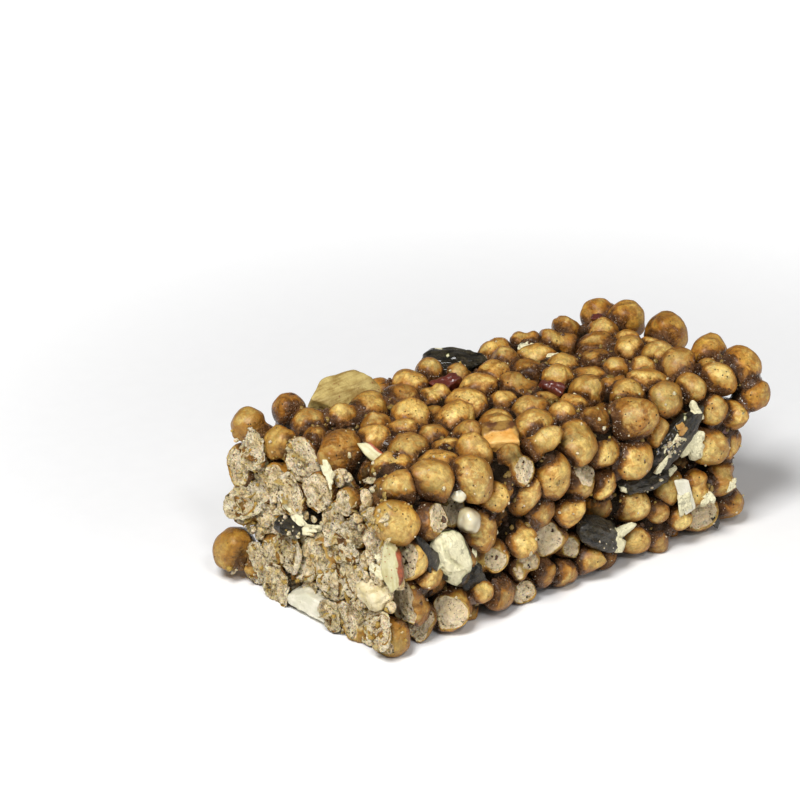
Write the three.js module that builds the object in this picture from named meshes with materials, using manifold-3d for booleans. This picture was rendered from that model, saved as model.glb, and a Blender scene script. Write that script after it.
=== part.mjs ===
// One half of a puffed-crisp protein bar, broken across its middle.
// Millimetres, +Z up. The bar lies flat, its broken end faces -X and its origin is
// the middle of its underside.
import * as THREE from 'three';
import { mergeVertices } from 'three/addons/utils/BufferGeometryUtils.js';
import Module from 'manifold-3d';

const wasm = await Module();
wasm.setup();

// Driving dimensions of the half bar.
const BAR_LENGTH = 62;
const BAR_WIDTH = 32;
const BAR_HEIGHT = 23.3;
const EDGE_ROUND = 3.8;
const FIT_GAP = 0.3;

// The middle of the finished outline, crisps that stand proud included, seen from
// the middle of the plain bar.
const OUTLINE_MIDDLE_X = -0.25;
const OUTLINE_MIDDLE_Y = 1.0;

// The crisps: balls of puffed protein, pressed together until they touch all round.
const CRISP_COUNT = 560;
const CRISP_RADIUS_LOW = 1.8;
const CRISP_RADIUS_SPREAD = 1.15;
const WALL_GIVE_LOW = -0.55;
const WALL_GIVE_SPREAD = 1.2;
const BROKEN_END_SPARE = 5;
const PRESS_STEPS = 140;
const PRESS_SHARE = 0.34;

// The strewing of the crisps, the same each time: a plain linear random row.
const STREW_SEED = 20611;
const RANDOM_FACTOR = 1664525;
const RANDOM_STEP = 1013904223;
const RANDOM_RANGE = 4294967296;

// The balls that keep crisps clear of a seed or nut stand this many radii apart.
const CLEAR_PITCH_LONG = 1.7;
const CLEAR_PITCH_WIDE = 1.9;

// The skin of the pressed block.
const SKIN_STEPS_LONG = 35;
const SKIN_STEPS_WIDE = 18;
const SKIN_STEPS_HIGH = 13;
const SKIN_ROOT_DEPTH = 6.5;
const CREVICE_DEPTH = 2.2;
const UNDERSIDE_TURN = -0.8;
const PROUD_BALL_DETAIL = 2;
const SOFT_RAYS = 5;
const SOFT_PATCH = 0.7;
const ASLANT = new THREE.Vector3(0.577, 0.577, -0.577);

// The broken end: a rough plane that slices the crisps, below a top layer whose
// crisps came away whole.
const BREAK_X = -BAR_LENGTH / 2;
const BREAK_ROUGHNESS = 0.55;
const SWELL_WIDE = { rate: 0.55, start: 0.9 };
const SWELL_HIGH = { rate: 0.5, start: 0.4 };
const CROSS_SWELL = { share: 0.5, wide: 1.1, high: 0.8 };
const BREAK_STEP = 0.45;
const BREAK_STEP_TURN = 7.3;
const BREAK_LEAN = 4.2;
const BREAK_LEAN_FROM = 13.5;
const BREAK_LEAN_WIDTH = 9;
const SLIVER_LEFT = 0.5;
const WHOLE_LAYER_DEPTH = 3.2;
const WHOLE_LAYER_SETBACK = 0.9;

// The forms of the seeds, nuts and fruit, as shares of each piece's own size.
const SEED_SIDES = 10;
const SEED_RINGS = 6;
const SEED_TIP_TAPER = 0.2;
const SLICE_CURVE_STEPS = 8;
const CHUNK_DETAIL = 1;
const CHUNK_FLAT = 0.41;
const CUBE_STEPS = 2;
const CUBE_ROUNDNESS = 0.22;
const CUBE_CORNER_REACH = 0.62;

const GLAZED_CRISP = { color: 0xb98b45, roughness: 0.5 };
const DARK_SKIN = { color: 0x3a3a2c, roughness: 0.55 };
const PALE_KERNEL = { color: 0xe9e6bf, roughness: 0.7 };
const PALE_NUT = { color: 0xe6dcae, roughness: 0.6 };
const TOASTED_NUT = { color: 0xdca85a, roughness: 0.55 };
const CANDIED = { color: 0xe2dcc4, roughness: 0.3 };
const DRIED_FRUIT = { color: 0x5a1712, roughness: 0.35 };

// Crisps whose places give the bar its own outline: x, y, z and radius. A proud one
// stands out of the block far enough to be a ball of its own.
const LANDMARK_CRISPS = [
  { at: [-31.6, 16.3, 3.9], radius: 3.0, proud: true },
  { at: [-29.6, 13.2, 2.7], radius: 2.5 },
  { at: [-29.3, 13.9, 20.9], radius: 2.6 },
  { at: [-29.8, 15.6, 15.4], radius: 2.6, broken: true },
  { at: [-29.9, 15.4, 10.2], radius: 2.6, broken: true },
  { at: [-29.4, -13.6, 2.4], radius: 2.5, broken: true },
  { at: [-23.6, 14.2, 21.0], radius: 2.8 },
  { at: [-25.5, 1.2, 21.0], radius: 2.9 },
  { at: [-23.2, -6.6, 20.9], radius: 2.6 },
  { at: [-28.4, -13.6, 18.0], radius: 2.9 },
  { at: [-21.8, -12.2, 20.9], radius: 2.9 },
  { at: [-16.7, -14.0, 20.4], radius: 2.9 },
  { at: [30.3, -7.4, 22.2], radius: 2.5, proud: true },
  { at: [31.0, -12.6, 21.6], radius: 2.6, proud: true },
  { at: [27.2, -11.6, 21.2], radius: 2.7 },
  { at: [31.2, -15.0, 18.6], radius: 2.2, proud: true },
  { at: [31.4, 2.4, 21.9], radius: 2.7, proud: true },
  { at: [30.4, 9.0, 21.9], radius: 2.6, proud: true },
  { at: [29.6, 14.0, 21.2], radius: 2.5, proud: true },
  { at: [10.1, -14.2, 15.0], radius: 2.9 },
  { at: [10.6, -13.4, 20.5], radius: 2.9 },
  { at: [23.7, -14.1, 13.2], radius: 2.8 },
];

// The seeds, nuts and fruit that show: where each lies, the way of its length, the
// way its broad side faces, its size along both and through, and how far in front of
// it no crisp lies.
const INCLUSIONS = [
  { name: 'pumpkin_seed_broken', form: 'seed', look: PALE_KERNEL, clear: 2.6,
    at: [-20.8, -15.2, 11.0], along: [0.42, 0.05, -0.9], facing: [-0.35, -0.9, 0], size: [10.0, 4.9, 3.0] },
  { name: 'pumpkin_seed_upper', form: 'seed', look: DARK_SKIN, clear: 1.4,
    at: [17.6, -15.0, 16.4], along: [0.79, -0.06, 0.61], facing: [-0.25, -0.9, 0.3], size: [10.8, 3.6, 2.4] },
  { name: 'pumpkin_seed_middle', form: 'seed', look: DARK_SKIN, clear: 1.4,
    at: [13.2, -14.2, 11.7], along: [1, -0.05, 0.02], facing: [0, -0.6, 0.8], size: [10.0, 3.6, 2.2] },
  { name: 'pumpkin_seed_lower', form: 'seed', look: DARK_SKIN, clear: 1.4,
    at: [4.8, -14.7, 6.2], along: [0.86, 0, -0.5], facing: [0.1, -0.8, 0.6], size: [9.6, 4.4, 2.2] },
  { name: 'pumpkin_seed_back', form: 'seed', look: DARK_SKIN, clear: 1.6,
    at: [3.6, 13.6, 21.9], along: [0.8, -0.6, 0], facing: [-0.1, -0.15, 1], size: [9.0, 4.6, 2.2] },
  { name: 'pumpkin_seed_end', form: 'seed', look: DARK_SKIN, clear: 1.0,
    at: [-29.6, 4.2, 11.8], along: [0.1, -0.97, 0.16], facing: [-0.35, 0, 0.94], size: [8.4, 4.8, 2.0] },
  { name: 'seed_sliver_right', form: 'slice', look: PALE_KERNEL, clear: 1.4,
    at: [18.5, -16.0, 8.0], along: [0.3, 0, -0.95], facing: [-0.3, -0.95, 0], size: [5.6, 1.8, 1.1] },
  { name: 'almond_slice_back', form: 'slice', look: PALE_NUT, clear: 1.6,
    at: [-15.2, 14.0, 22.5], along: [1, 0.05, 0.04], facing: [0, -0.45, 0.9], size: [8.8, 4.8, 2.0] },
  { name: 'almond_sliver_top', form: 'slice', look: PALE_NUT, clear: 1.4,
    at: [-23.3, -2.7, 21.9], along: [0.2, -0.85, -0.35], facing: [-0.6, -0.3, 0.75], size: [3.8, 1.7, 1.1] },
  { name: 'almond_sliver_corner', form: 'slice', look: PALE_NUT, clear: 1.4,
    at: [-30.2, -15.0, 12.9], along: [0.1, 0, -1], facing: [-0.75, -0.65, 0], size: [6.0, 2.6, 1.2] },
  { name: 'nut_chunk_top', form: 'chunk', look: TOASTED_NUT, clear: 1.2,
    at: [-8.2, -9.6, 21.6], along: [0.85, -0.5, 0], facing: [-0.1, -0.3, 0.95], size: [5.0, 4.0, 3.4] },
  { name: 'nut_chunk_end', form: 'chunk', look: PALE_NUT, clear: 0.6,
    at: [-30.2, -12.0, 7.8], along: [0, 1, 0.1], facing: [-1, 0, 0], size: [4.4, 4.0, 3.8] },
  { name: 'nut_slab_end', form: 'chunk', look: PALE_KERNEL, clear: 0.4,
    at: [-30.2, 0.4, 1.9], along: [0, 1, 0.04], facing: [-1, 0, 0.1], size: [8.6, 3.0, 3.4] },
  { name: 'candied_piece_front', form: 'cube', look: CANDIED, clear: 1.4,
    at: [-18.0, -15.3, 15.5], along: [0.92, 0, -0.38], facing: [-0.3, -0.95, 0.1], size: [3.2, 3.2, 3.0] },
  { name: 'candied_piece_upper', form: 'cube', look: CANDIED, clear: 1.2,
    at: [-18.7, -14.1, 19.2], along: [0.6, 0, 0.8], facing: [-0.3, -0.95, 0.1], size: [2.5, 2.4, 2.4] },
  { name: 'fruit_piece_left', form: 'chunk', look: DRIED_FRUIT, clear: 1.0,
    at: [-2.4, 8.0, 22.1], along: [0.9, -0.2, 0.2], facing: [-0.1, -0.3, 0.95], size: [3.8, 2.6, 2.0] },
  { name: 'fruit_piece_middle', form: 'chunk', look: DRIED_FRUIT, clear: 1.0,
    at: [7.2, -2.0, 22.2], along: [0.4, -0.85, -0.3], facing: [-0.3, -0.3, 0.9], size: [3.6, 1.9, 1.7] },
];

/** Numbers from 0 to 1, the same ones each time for the same seed. */
function makeRandom(seed) {
  let state = seed;
  return () => {
    state = (state * RANDOM_FACTOR + RANDOM_STEP) % RANDOM_RANGE;
    return state / RANDOM_RANGE;
  };
}

/** The turn that lays a piece's length along one way and its broad side facing another. */
function turnOf({ along, facing }) {
  const length = new THREE.Vector3(...along).normalize();
  const outward = new THREE.Vector3(...facing);
  const across = outward.clone().cross(length).normalize();
  const square = length.clone().cross(across);
  const basis = new THREE.Matrix4().makeBasis(length, across, square);
  return new THREE.Quaternion().setFromRotationMatrix(basis);
}

/** Small balls that fill a piece and the free space in front of it. */
function keepOutBalls(inclusion) {
  const [long, wide, thick] = inclusion.size;
  const radius = Math.min(wide, thick) / 2 + FIT_GAP;
  const turn = turnOf(inclusion);
  const layers = 1 + Math.ceil(inclusion.clear / (2 * radius));
  const columns = Math.max(1, Math.round(long / (CLEAR_PITCH_LONG * radius)));
  const rows = Math.max(1, Math.round(wide / (CLEAR_PITCH_WIDE * radius)));
  const balls = [];
  for (let layer = 0; layer < layers; layer += 1) {
    const out = layer * inclusion.clear / Math.max(1, layers - 1);
    for (let column = 0; column < columns; column += 1) {
      const reach = Math.max(0, long / 2 - radius + FIT_GAP);
      const u = columns > 1 ? reach * (2 * column / (columns - 1) - 1) : 0;
      for (let row = 0; row < rows; row += 1) {
        const side = Math.max(0, wide / 2 - radius + FIT_GAP);
        const v = rows > 1 ? side * (2 * row / (rows - 1) - 1) : 0;
        const at = new THREE.Vector3(u, v, out).applyQuaternion(turn);
        at.add(new THREE.Vector3(...inclusion.at));
        balls.push({ at: at.toArray(), radius, give: 0, fixed: true, crisp: false });
      }
    }
  }
  return balls;
}

/** Moves a crisp's middle back inside the round-edged block, with its own give. */
function holdInBlock(ball) {
  const half = [
    (BAR_LENGTH + BROKEN_END_SPARE) / 2 - EDGE_ROUND,
    BAR_WIDTH / 2 - EDGE_ROUND,
    BAR_HEIGHT / 2 - EDGE_ROUND,
  ];
  const middle = [-BROKEN_END_SPARE / 2, 0, BAR_HEIGHT / 2];
  const past = [0, 1, 2].map((axis) => {
    const offset = ball.at[axis] - middle[axis];
    return offset - Math.max(-half[axis], Math.min(half[axis], offset));
  });
  const distance = Math.sqrt(past[0] * past[0] + past[1] * past[1] + past[2] * past[2]);
  const allowed = EDGE_ROUND - ball.radius + ball.give;
  if (distance > allowed) {
    const back = 1 - allowed / distance;
    for (let axis = 0; axis < 3; axis += 1) {
      ball.at[axis] -= past[axis] * back;
    }
  }
}

/** Presses randomly strewn crisps apart until they fill the block evenly. */
function packCrisps() {
  const random = makeRandom(STREW_SEED);
  const balls = LANDMARK_CRISPS.map(({ at, radius, proud = false, broken = false }) => (
    { at: [...at], radius, give: 0, fixed: true, crisp: true, proud, broken }
  ));
  for (const inclusion of INCLUSIONS) {
    balls.push(...keepOutBalls(inclusion));
  }
  for (let index = 0; index < CRISP_COUNT; index += 1) {
    const x = BREAK_X - BROKEN_END_SPARE + random() * (BAR_LENGTH + BROKEN_END_SPARE);
    const y = (random() - 0.5) * BAR_WIDTH;
    const z = random() * BAR_HEIGHT;
    const radius = CRISP_RADIUS_LOW + CRISP_RADIUS_SPREAD * random();
    const give = WALL_GIVE_LOW + WALL_GIVE_SPREAD * random();
    balls.push({ at: [x, y, z], radius, give, fixed: false, crisp: true, proud: false, broken: false });
  }
  for (let step = 0; step < PRESS_STEPS; step += 1) {
    const moves = balls.map(() => [0, 0, 0]);
    for (let i = 0; i < balls.length; i += 1) {
      for (let j = i + 1; j < balls.length; j += 1) {
        const dx = balls[i].at[0] - balls[j].at[0];
        const dy = balls[i].at[1] - balls[j].at[1];
        const dz = balls[i].at[2] - balls[j].at[2];
        const distance = Math.sqrt(dx * dx + dy * dy + dz * dz);
        const overlap = balls[i].radius + balls[j].radius - distance;
        if (overlap > 0) {
          const push = PRESS_SHARE * overlap / distance;
          moves[i][0] += dx * push;
          moves[i][1] += dy * push;
          moves[i][2] += dz * push;
          moves[j][0] -= dx * push;
          moves[j][1] -= dy * push;
          moves[j][2] -= dz * push;
        }
      }
    }
    balls.forEach((ball, index) => {
      if (ball.fixed) {
        return;
      }
      for (let axis = 0; axis < 3; axis += 1) {
        ball.at[axis] += moves[index][axis];
      }
      holdInBlock(ball);
    });
  }
  return balls.filter((ball) => ball.crisp);
}

/** How far along X the broken face lies at a place on it: it leans back at the top middle. */
function breakAt(y, z) {
  const wide = Math.sin(SWELL_WIDE.rate * y + SWELL_WIDE.start);
  const high = Math.sin(SWELL_HIGH.rate * z + SWELL_HIGH.start);
  const cross = Math.sin(CROSS_SWELL.wide * y - CROSS_SWELL.high * z);
  const wave = wide * high + CROSS_SWELL.share * cross;
  const rise = Math.max(0, z - BREAK_LEAN_FROM) / (BAR_HEIGHT - BREAK_LEAN_FROM);
  const lean = BREAK_LEAN * rise * Math.exp(-((y / BREAK_LEAN_WIDTH) ** 2));
  return BREAK_X + lean + BREAK_ROUGHNESS * wave;
}

/** Keeps the crisps of this half, and gives each that the break slices its own cut. */
function breakAcross(balls) {
  const kept = [];
  balls.forEach((ball, index) => {
    const [x, y, z] = ball.at;
    const face = breakAt(y, z) + BREAK_STEP * Math.sin(BREAK_STEP_TURN * index);
    const whole = z > BAR_HEIGHT - WHOLE_LAYER_DEPTH;
    const lost = whole ? x < face + WHOLE_LAYER_SETBACK : x + ball.radius < face + SLIVER_LEFT;
    const crosses = !whole && x - ball.radius < face;
    const sliced = ball.fixed ? ball.broken : crosses;
    if (ball.fixed || !lost) {
      kept.push({ ...ball, cutX: sliced ? face : -Infinity });
    }
  });
  return kept;
}

/** The distance at which a ray leaves the outermost crisp that it meets. */
function crispReach(origin, direction, balls) {
  let furthest = 0;
  for (const ball of balls) {
    const toBall = ball.at.map((value, axis) => value - origin[axis]);
    const ahead = toBall[0] * direction[0] + toBall[1] * direction[1] + toBall[2] * direction[2];
    const squared = toBall[0] * toBall[0] + toBall[1] * toBall[1] + toBall[2] * toBall[2];
    const missSquared = squared - ahead * ahead;
    const radiusSquared = ball.radius * ball.radius;
    if (missSquared < radiusSquared) {
      const exit = ahead + Math.sqrt(radiusSquared - missSquared);
      const cut = direction[0] < 0 ? (ball.cutX - origin[0]) / direction[0] : Infinity;
      furthest = Math.max(furthest, Math.min(exit, cut));
    }
  }
  return furthest;
}

/** The reach averaged over a small patch, so that the skin's coarse facets stay round. */
function softReach(origin, direction, balls) {
  const away = new THREE.Vector3(...direction);
  const side = ASLANT.clone().cross(away).normalize();
  const up = away.clone().cross(side);
  let total = 0;
  for (let turn = 0; turn < SOFT_RAYS; turn += 1) {
    const angle = 2 * Math.PI * turn / SOFT_RAYS;
    const lean = side.clone().multiplyScalar(Math.cos(angle)).addScaledVector(up, Math.sin(angle));
    const start = new THREE.Vector3(...origin).addScaledVector(lean, SOFT_PATCH).toArray();
    total += crispReach(start, direction, balls);
  }
  return (total / SOFT_RAYS + crispReach(origin, direction, balls)) / 2;
}

/** A geometry with its shared corners merged and nothing but positions left. */
function onlyPositions(geometry) {
  const plain = geometry.clone();
  plain.deleteAttribute('normal');
  plain.deleteAttribute('uv');
  return mergeVertices(plain);
}

/** The block's closed skin, drawn out from its core to the outermost crisps. */
function makeSkin(balls) {
  const block = new THREE.BoxGeometry(
    BAR_LENGTH, BAR_WIDTH, BAR_HEIGHT, SKIN_STEPS_LONG, SKIN_STEPS_WIDE, SKIN_STEPS_HIGH,
  );
  block.translate(0, 0, BAR_HEIGHT / 2);
  const skin = onlyPositions(block);
  const points = skin.getAttribute('position');
  const reach = [BAR_LENGTH, BAR_WIDTH, BAR_HEIGHT].map((side) => side / 2 - SKIN_ROOT_DEPTH);
  for (let index = 0; index < points.count; index += 1) {
    const point = [points.getX(index), points.getY(index), points.getZ(index)];
    const offset = [point[0], point[1], point[2] - BAR_HEIGHT / 2];
    const root = offset.map((value, axis) => Math.max(-reach[axis], Math.min(reach[axis], value)));
    root[2] += BAR_HEIGHT / 2;
    const ray = point.map((value, axis) => value - root[axis]);
    const plain = Math.hypot(...ray);
    const direction = ray.map((value) => value / plain);
    let distance = Math.max(softReach(root, direction, balls), SKIN_ROOT_DEPTH - CREVICE_DEPTH);
    if (direction[2] < 0) {
      const toUnderside = root[2] / -direction[2];
      distance = direction[2] < UNDERSIDE_TURN ? toUnderside : Math.min(distance, toUnderside);
    }
    points.setXYZ(
      index,
      root[0] + direction[0] * distance,
      root[1] + direction[1] * distance,
      Math.max(0, root[2] + direction[2] * distance),
    );
  }
  return skin;
}

/** A hulled seed: a flat drop with one pointed end, longest along X. */
function seedGeometry([long, wide, thick]) {
  const seed = onlyPositions(new THREE.SphereGeometry(0.5, SEED_SIDES, SEED_RINGS).rotateZ(Math.PI / 2));
  const points = seed.getAttribute('position');
  for (let index = 0; index < points.count; index += 1) {
    const x = points.getX(index);
    const taper = 1 - x * Math.abs(x) - SEED_TIP_TAPER * x;
    points.setXYZ(index, x * long, points.getY(index) * wide * taper, points.getZ(index) * thick * taper);
  }
  return seed;
}

/** A flat slice of almond: a long oval with square-cut faces. */
function sliceGeometry([long, wide, thick]) {
  const oval = new THREE.Shape();
  oval.absellipse(0, 0, long / 2, wide / 2, 0, 2 * Math.PI);
  const slice = new THREE.ExtrudeGeometry(oval, {
    depth: thick,
    bevelEnabled: false,
    curveSegments: SLICE_CURVE_STEPS,
  });
  slice.translate(0, 0, -thick / 2);
  return onlyPositions(slice);
}

/** A lump with a few flat sides, as a knife or the press leaves it. */
function chunkGeometry([long, wide, thick]) {
  const chunk = onlyPositions(new THREE.IcosahedronGeometry(0.5, CHUNK_DETAIL));
  const points = chunk.getAttribute('position');
  for (let index = 0; index < points.count; index += 1) {
    const [x, y, z] = [points.getX(index), points.getY(index), points.getZ(index)]
      .map((value) => Math.max(-CHUNK_FLAT, Math.min(CHUNK_FLAT, value)) / (2 * CHUNK_FLAT));
    points.setXYZ(index, x * long, y * wide, z * thick);
  }
  return chunk;
}

/** A diced piece: a block whose corners are drawn in. */
function cubeGeometry([long, wide, thick]) {
  const block = new THREE.BoxGeometry(1, 1, 1, CUBE_STEPS, CUBE_STEPS, CUBE_STEPS);
  const cube = onlyPositions(block);
  const points = cube.getAttribute('position');
  for (let index = 0; index < points.count; index += 1) {
    const point = new THREE.Vector3().fromBufferAttribute(points, index);
    const onBall = point.clone().normalize().multiplyScalar(CUBE_CORNER_REACH);
    point.lerp(onBall, CUBE_ROUNDNESS);
    points.setXYZ(index, point.x * long, point.y * wide, point.z * thick);
  }
  return cube;
}

const FORMS = { seed: seedGeometry, slice: sliceGeometry, chunk: chunkGeometry, cube: cubeGeometry };

/** A closed geometry as a solid for joining and cutting. */
function solidOf(geometry) {
  return new wasm.Manifold(new wasm.Mesh({
    numProp: 3,
    vertProperties: new Float32Array(geometry.getAttribute('position').array),
    triVerts: new Uint32Array(geometry.getIndex().array),
  }));
}

/** A solid back as a geometry. */
function geometryOf(solid) {
  const mesh = solid.getMesh();
  const geometry = new THREE.BufferGeometry();
  geometry.setAttribute('position', new THREE.BufferAttribute(mesh.vertProperties, 3));
  geometry.setIndex(new THREE.BufferAttribute(mesh.triVerts, 1));
  geometry.computeVertexNormals();
  return geometry;
}

/** The solid that a piece takes out of the block, its fitting gap included. */
function pocketOf(inclusion) {
  const grown = FORMS[inclusion.form](inclusion.size.map((side) => side + 2 * FIT_GAP));
  grown.applyQuaternion(turnOf(inclusion));
  grown.translate(...inclusion.at);
  return solidOf(grown);
}

/** The pressed block: the skin and its proud crisps, less a pocket for each piece. */
function makeBlock() {
  const balls = breakAcross(packCrisps());
  let block = solidOf(makeSkin(balls));
  for (const ball of balls.filter(({ proud }) => proud)) {
    const round = onlyPositions(new THREE.IcosahedronGeometry(ball.radius, PROUD_BALL_DETAIL));
    round.translate(...ball.at);
    block = block.add(solidOf(round));
  }
  for (const inclusion of INCLUSIONS) {
    block = block.subtract(pocketOf(inclusion));
  }
  const material = new THREE.MeshStandardMaterial({ ...GLAZED_CRISP, metalness: 0 });
  const mesh = new THREE.Mesh(geometryOf(block), material);
  mesh.name = 'crisp_block';
  return mesh;
}

/** One seed, nut or fruit piece in its place. */
function makeInclusion(inclusion) {
  const geometry = FORMS[inclusion.form](inclusion.size);
  geometry.computeVertexNormals();
  const mesh = new THREE.Mesh(geometry, new THREE.MeshStandardMaterial({ ...inclusion.look, metalness: 0 }));
  mesh.name = inclusion.name;
  mesh.position.set(...inclusion.at);
  mesh.quaternion.copy(turnOf(inclusion));
  return mesh;
}

const bar = new THREE.Group();
bar.name = 'protein_bar_half';
bar.add(makeBlock());
for (const inclusion of INCLUSIONS) {
  bar.add(makeInclusion(inclusion));
}
bar.position.set(-OUTLINE_MIDDLE_X, -OUTLINE_MIDDLE_Y, 0);

export default bar;
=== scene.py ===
# One half of a puffed-crisp protein bar: sticky balls of puffed protein pressed into a
# block with pumpkin seeds, almond, candied fruit and dried fruit, broken across at -X.
import math
from dataclasses import dataclass, field, replace

import bmesh
import bpy
import numpy as np
from mathutils import Matrix, Vector


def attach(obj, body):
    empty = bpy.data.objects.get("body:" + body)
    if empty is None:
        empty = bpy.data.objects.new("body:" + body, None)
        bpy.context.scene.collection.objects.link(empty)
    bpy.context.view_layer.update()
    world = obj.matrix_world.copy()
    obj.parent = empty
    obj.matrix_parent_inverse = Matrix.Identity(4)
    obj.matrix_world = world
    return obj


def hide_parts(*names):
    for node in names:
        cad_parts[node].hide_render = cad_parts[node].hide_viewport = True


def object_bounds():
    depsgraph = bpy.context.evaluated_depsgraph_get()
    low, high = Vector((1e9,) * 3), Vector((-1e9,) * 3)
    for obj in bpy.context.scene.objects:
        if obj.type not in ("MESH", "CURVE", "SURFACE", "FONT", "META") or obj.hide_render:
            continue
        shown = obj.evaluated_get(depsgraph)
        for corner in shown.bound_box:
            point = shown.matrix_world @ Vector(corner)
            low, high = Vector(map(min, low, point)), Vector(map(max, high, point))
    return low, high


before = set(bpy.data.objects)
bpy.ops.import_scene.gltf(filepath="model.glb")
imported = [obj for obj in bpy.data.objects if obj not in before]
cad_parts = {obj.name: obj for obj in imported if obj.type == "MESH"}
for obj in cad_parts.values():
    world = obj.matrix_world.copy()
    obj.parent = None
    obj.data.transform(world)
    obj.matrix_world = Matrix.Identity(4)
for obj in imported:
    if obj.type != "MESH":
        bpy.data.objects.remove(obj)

cad_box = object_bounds()
MM = 0.001

# ---------------------------------------------------------------- the half bar, in mm
BAR_LENGTH = 62.0
BAR_WIDTH = 32.0
BAR_HEIGHT = 23.3
EDGE_ROUND = 3.8
FIT_GAP = 0.3           # room that the crisps leave round each seed, nut or fruit piece
BAR_SHIFT = np.array([0.25, -1.0, 0.0])     # from the bar's own middle to the frame's

CRISP_COUNT = 560
CRISP_RADIUS_LOW = 1.8
CRISP_RADIUS_SPREAD = 1.15
WALL_GIVE_LOW = -0.55   # how far a crisp may stand out past a wall, at least
WALL_GIVE_SPREAD = 1.2
BROKEN_END_SPARE = 5.0  # how far the packing goes on past the break
PRESS_STEPS = 140
PRESS_SHARE = 0.34
PACK_SEED = 20611

BREAK_X = -BAR_LENGTH / 2
BREAK_ROUGHNESS = 0.55
BREAK_STEP = 0.45       # how far the break steps from crisp to crisp
BREAK_LEAN = 4.2        # how far it falls back at the top, round the middle
BREAK_LEAN_FROM = 13.5
BREAK_LEAN_WIDTH = 9.0
SLIVER_LEFT = 0.5       # a crisp with less than this behind the break is gone
WHOLE_LAYER_DEPTH = 3.2     # the top layer, where crisps stay whole or are gone
WHOLE_LAYER_SETBACK = 0.9

# Crisps with a place of their own: x, y, z, radius, and whether the break slices it.
LANDMARK_CRISPS = [
    (-31.6, 16.3, 3.9, 3.0, False),
    (-29.6, 13.2, 2.7, 2.5, False),
    (-29.3, 13.9, 20.9, 2.6, False),
    (-29.8, 15.6, 15.4, 2.6, True),
    (-29.9, 15.4, 10.2, 2.6, True),
    (-29.4, -13.6, 2.4, 2.5, True),
    (-23.6, 14.2, 21.0, 2.8, False),
    (-25.5, 1.2, 21.0, 2.9, False),
    (-23.2, -6.6, 20.9, 2.6, False),
    (-28.4, -13.6, 18.0, 2.9, False),
    (-21.8, -12.2, 20.9, 2.9, False),
    (-16.7, -14.0, 20.4, 2.9, False),
    (30.3, -7.4, 22.2, 2.5, False),
    (31.0, -12.6, 21.6, 2.6, False),
    (27.2, -11.6, 21.2, 2.7, False),
    (31.2, -15.0, 18.6, 2.2, False),
    (31.4, 2.4, 21.9, 2.7, False),
    (30.4, 9.0, 21.9, 2.6, False),
    (29.6, 14.0, 21.2, 2.5, False),
    (10.1, -14.2, 15.0, 2.9, False),
    (10.6, -13.4, 20.5, 2.9, False),
    (23.7, -14.1, 13.2, 2.8, False),
]

# Crisps broken open on the sides: a place near the crisp, the way it gapes, and how far
# out of its middle the mouth lies, of its radius.
OPEN_CRISPS = [
    ((-19.1, -11.4, 17.0), (-0.3, -0.9, 0.3), 0.45),
    ((-23.4, -13.7, 16.5), (0.25, -0.9, 0.35), 0.66),
    ((-4.1, -12.8, 7.8), (-0.35, -0.95, 0.05), 0.58),
    ((-8.7, -13.4, 6.1), (-0.3, -0.9, 0.2), 0.62),
    ((-20.1, -13.7, 3.6), (-0.6, -0.8, 0.15), 0.60),
    ((-24.2, -12.9, 2.7), (-0.6, -0.75, 0.1), 0.50),
    ((-10.0, -14.0, 2.2), (-0.3, -0.95, 0.0), 0.55),
    ((1.9, -13.1, 5.6), (-0.2, -0.95, 0.1), 0.60),
    ((23.5, -13.5, 3.5), (-0.2, -0.95, 0.2), 0.55),
    ((-9.1, -13.0, 19.5), (0.25, -0.85, 0.45), 0.60),
    ((-13.4, -12.9, 8.0), (-0.3, -0.9, 0.2), 0.66),
    ((0.6, -13.1, 14.4), (0.3, -0.75, 0.55), 0.66),
    ((-29.3, 13.9, 20.9), (-0.7, -0.6, -0.35), 0.70),
]


@dataclass
class Inclusion:
    """A seed, nut or fruit piece: its middle, the way of its length, the way its broad
    side faces, its length, width and thickness, and the free depth in front of it."""
    name: str
    form: str
    clear: float
    at: tuple
    along: tuple
    facing: tuple
    size: tuple

    def basis(self):
        """Columns: along its length, across it, and out of its broad side."""
        length = unit(np.array(self.along, float))
        across = unit(np.cross(np.array(self.facing, float), length))
        return np.stack([length, across, np.cross(length, across)], axis=1)


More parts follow.
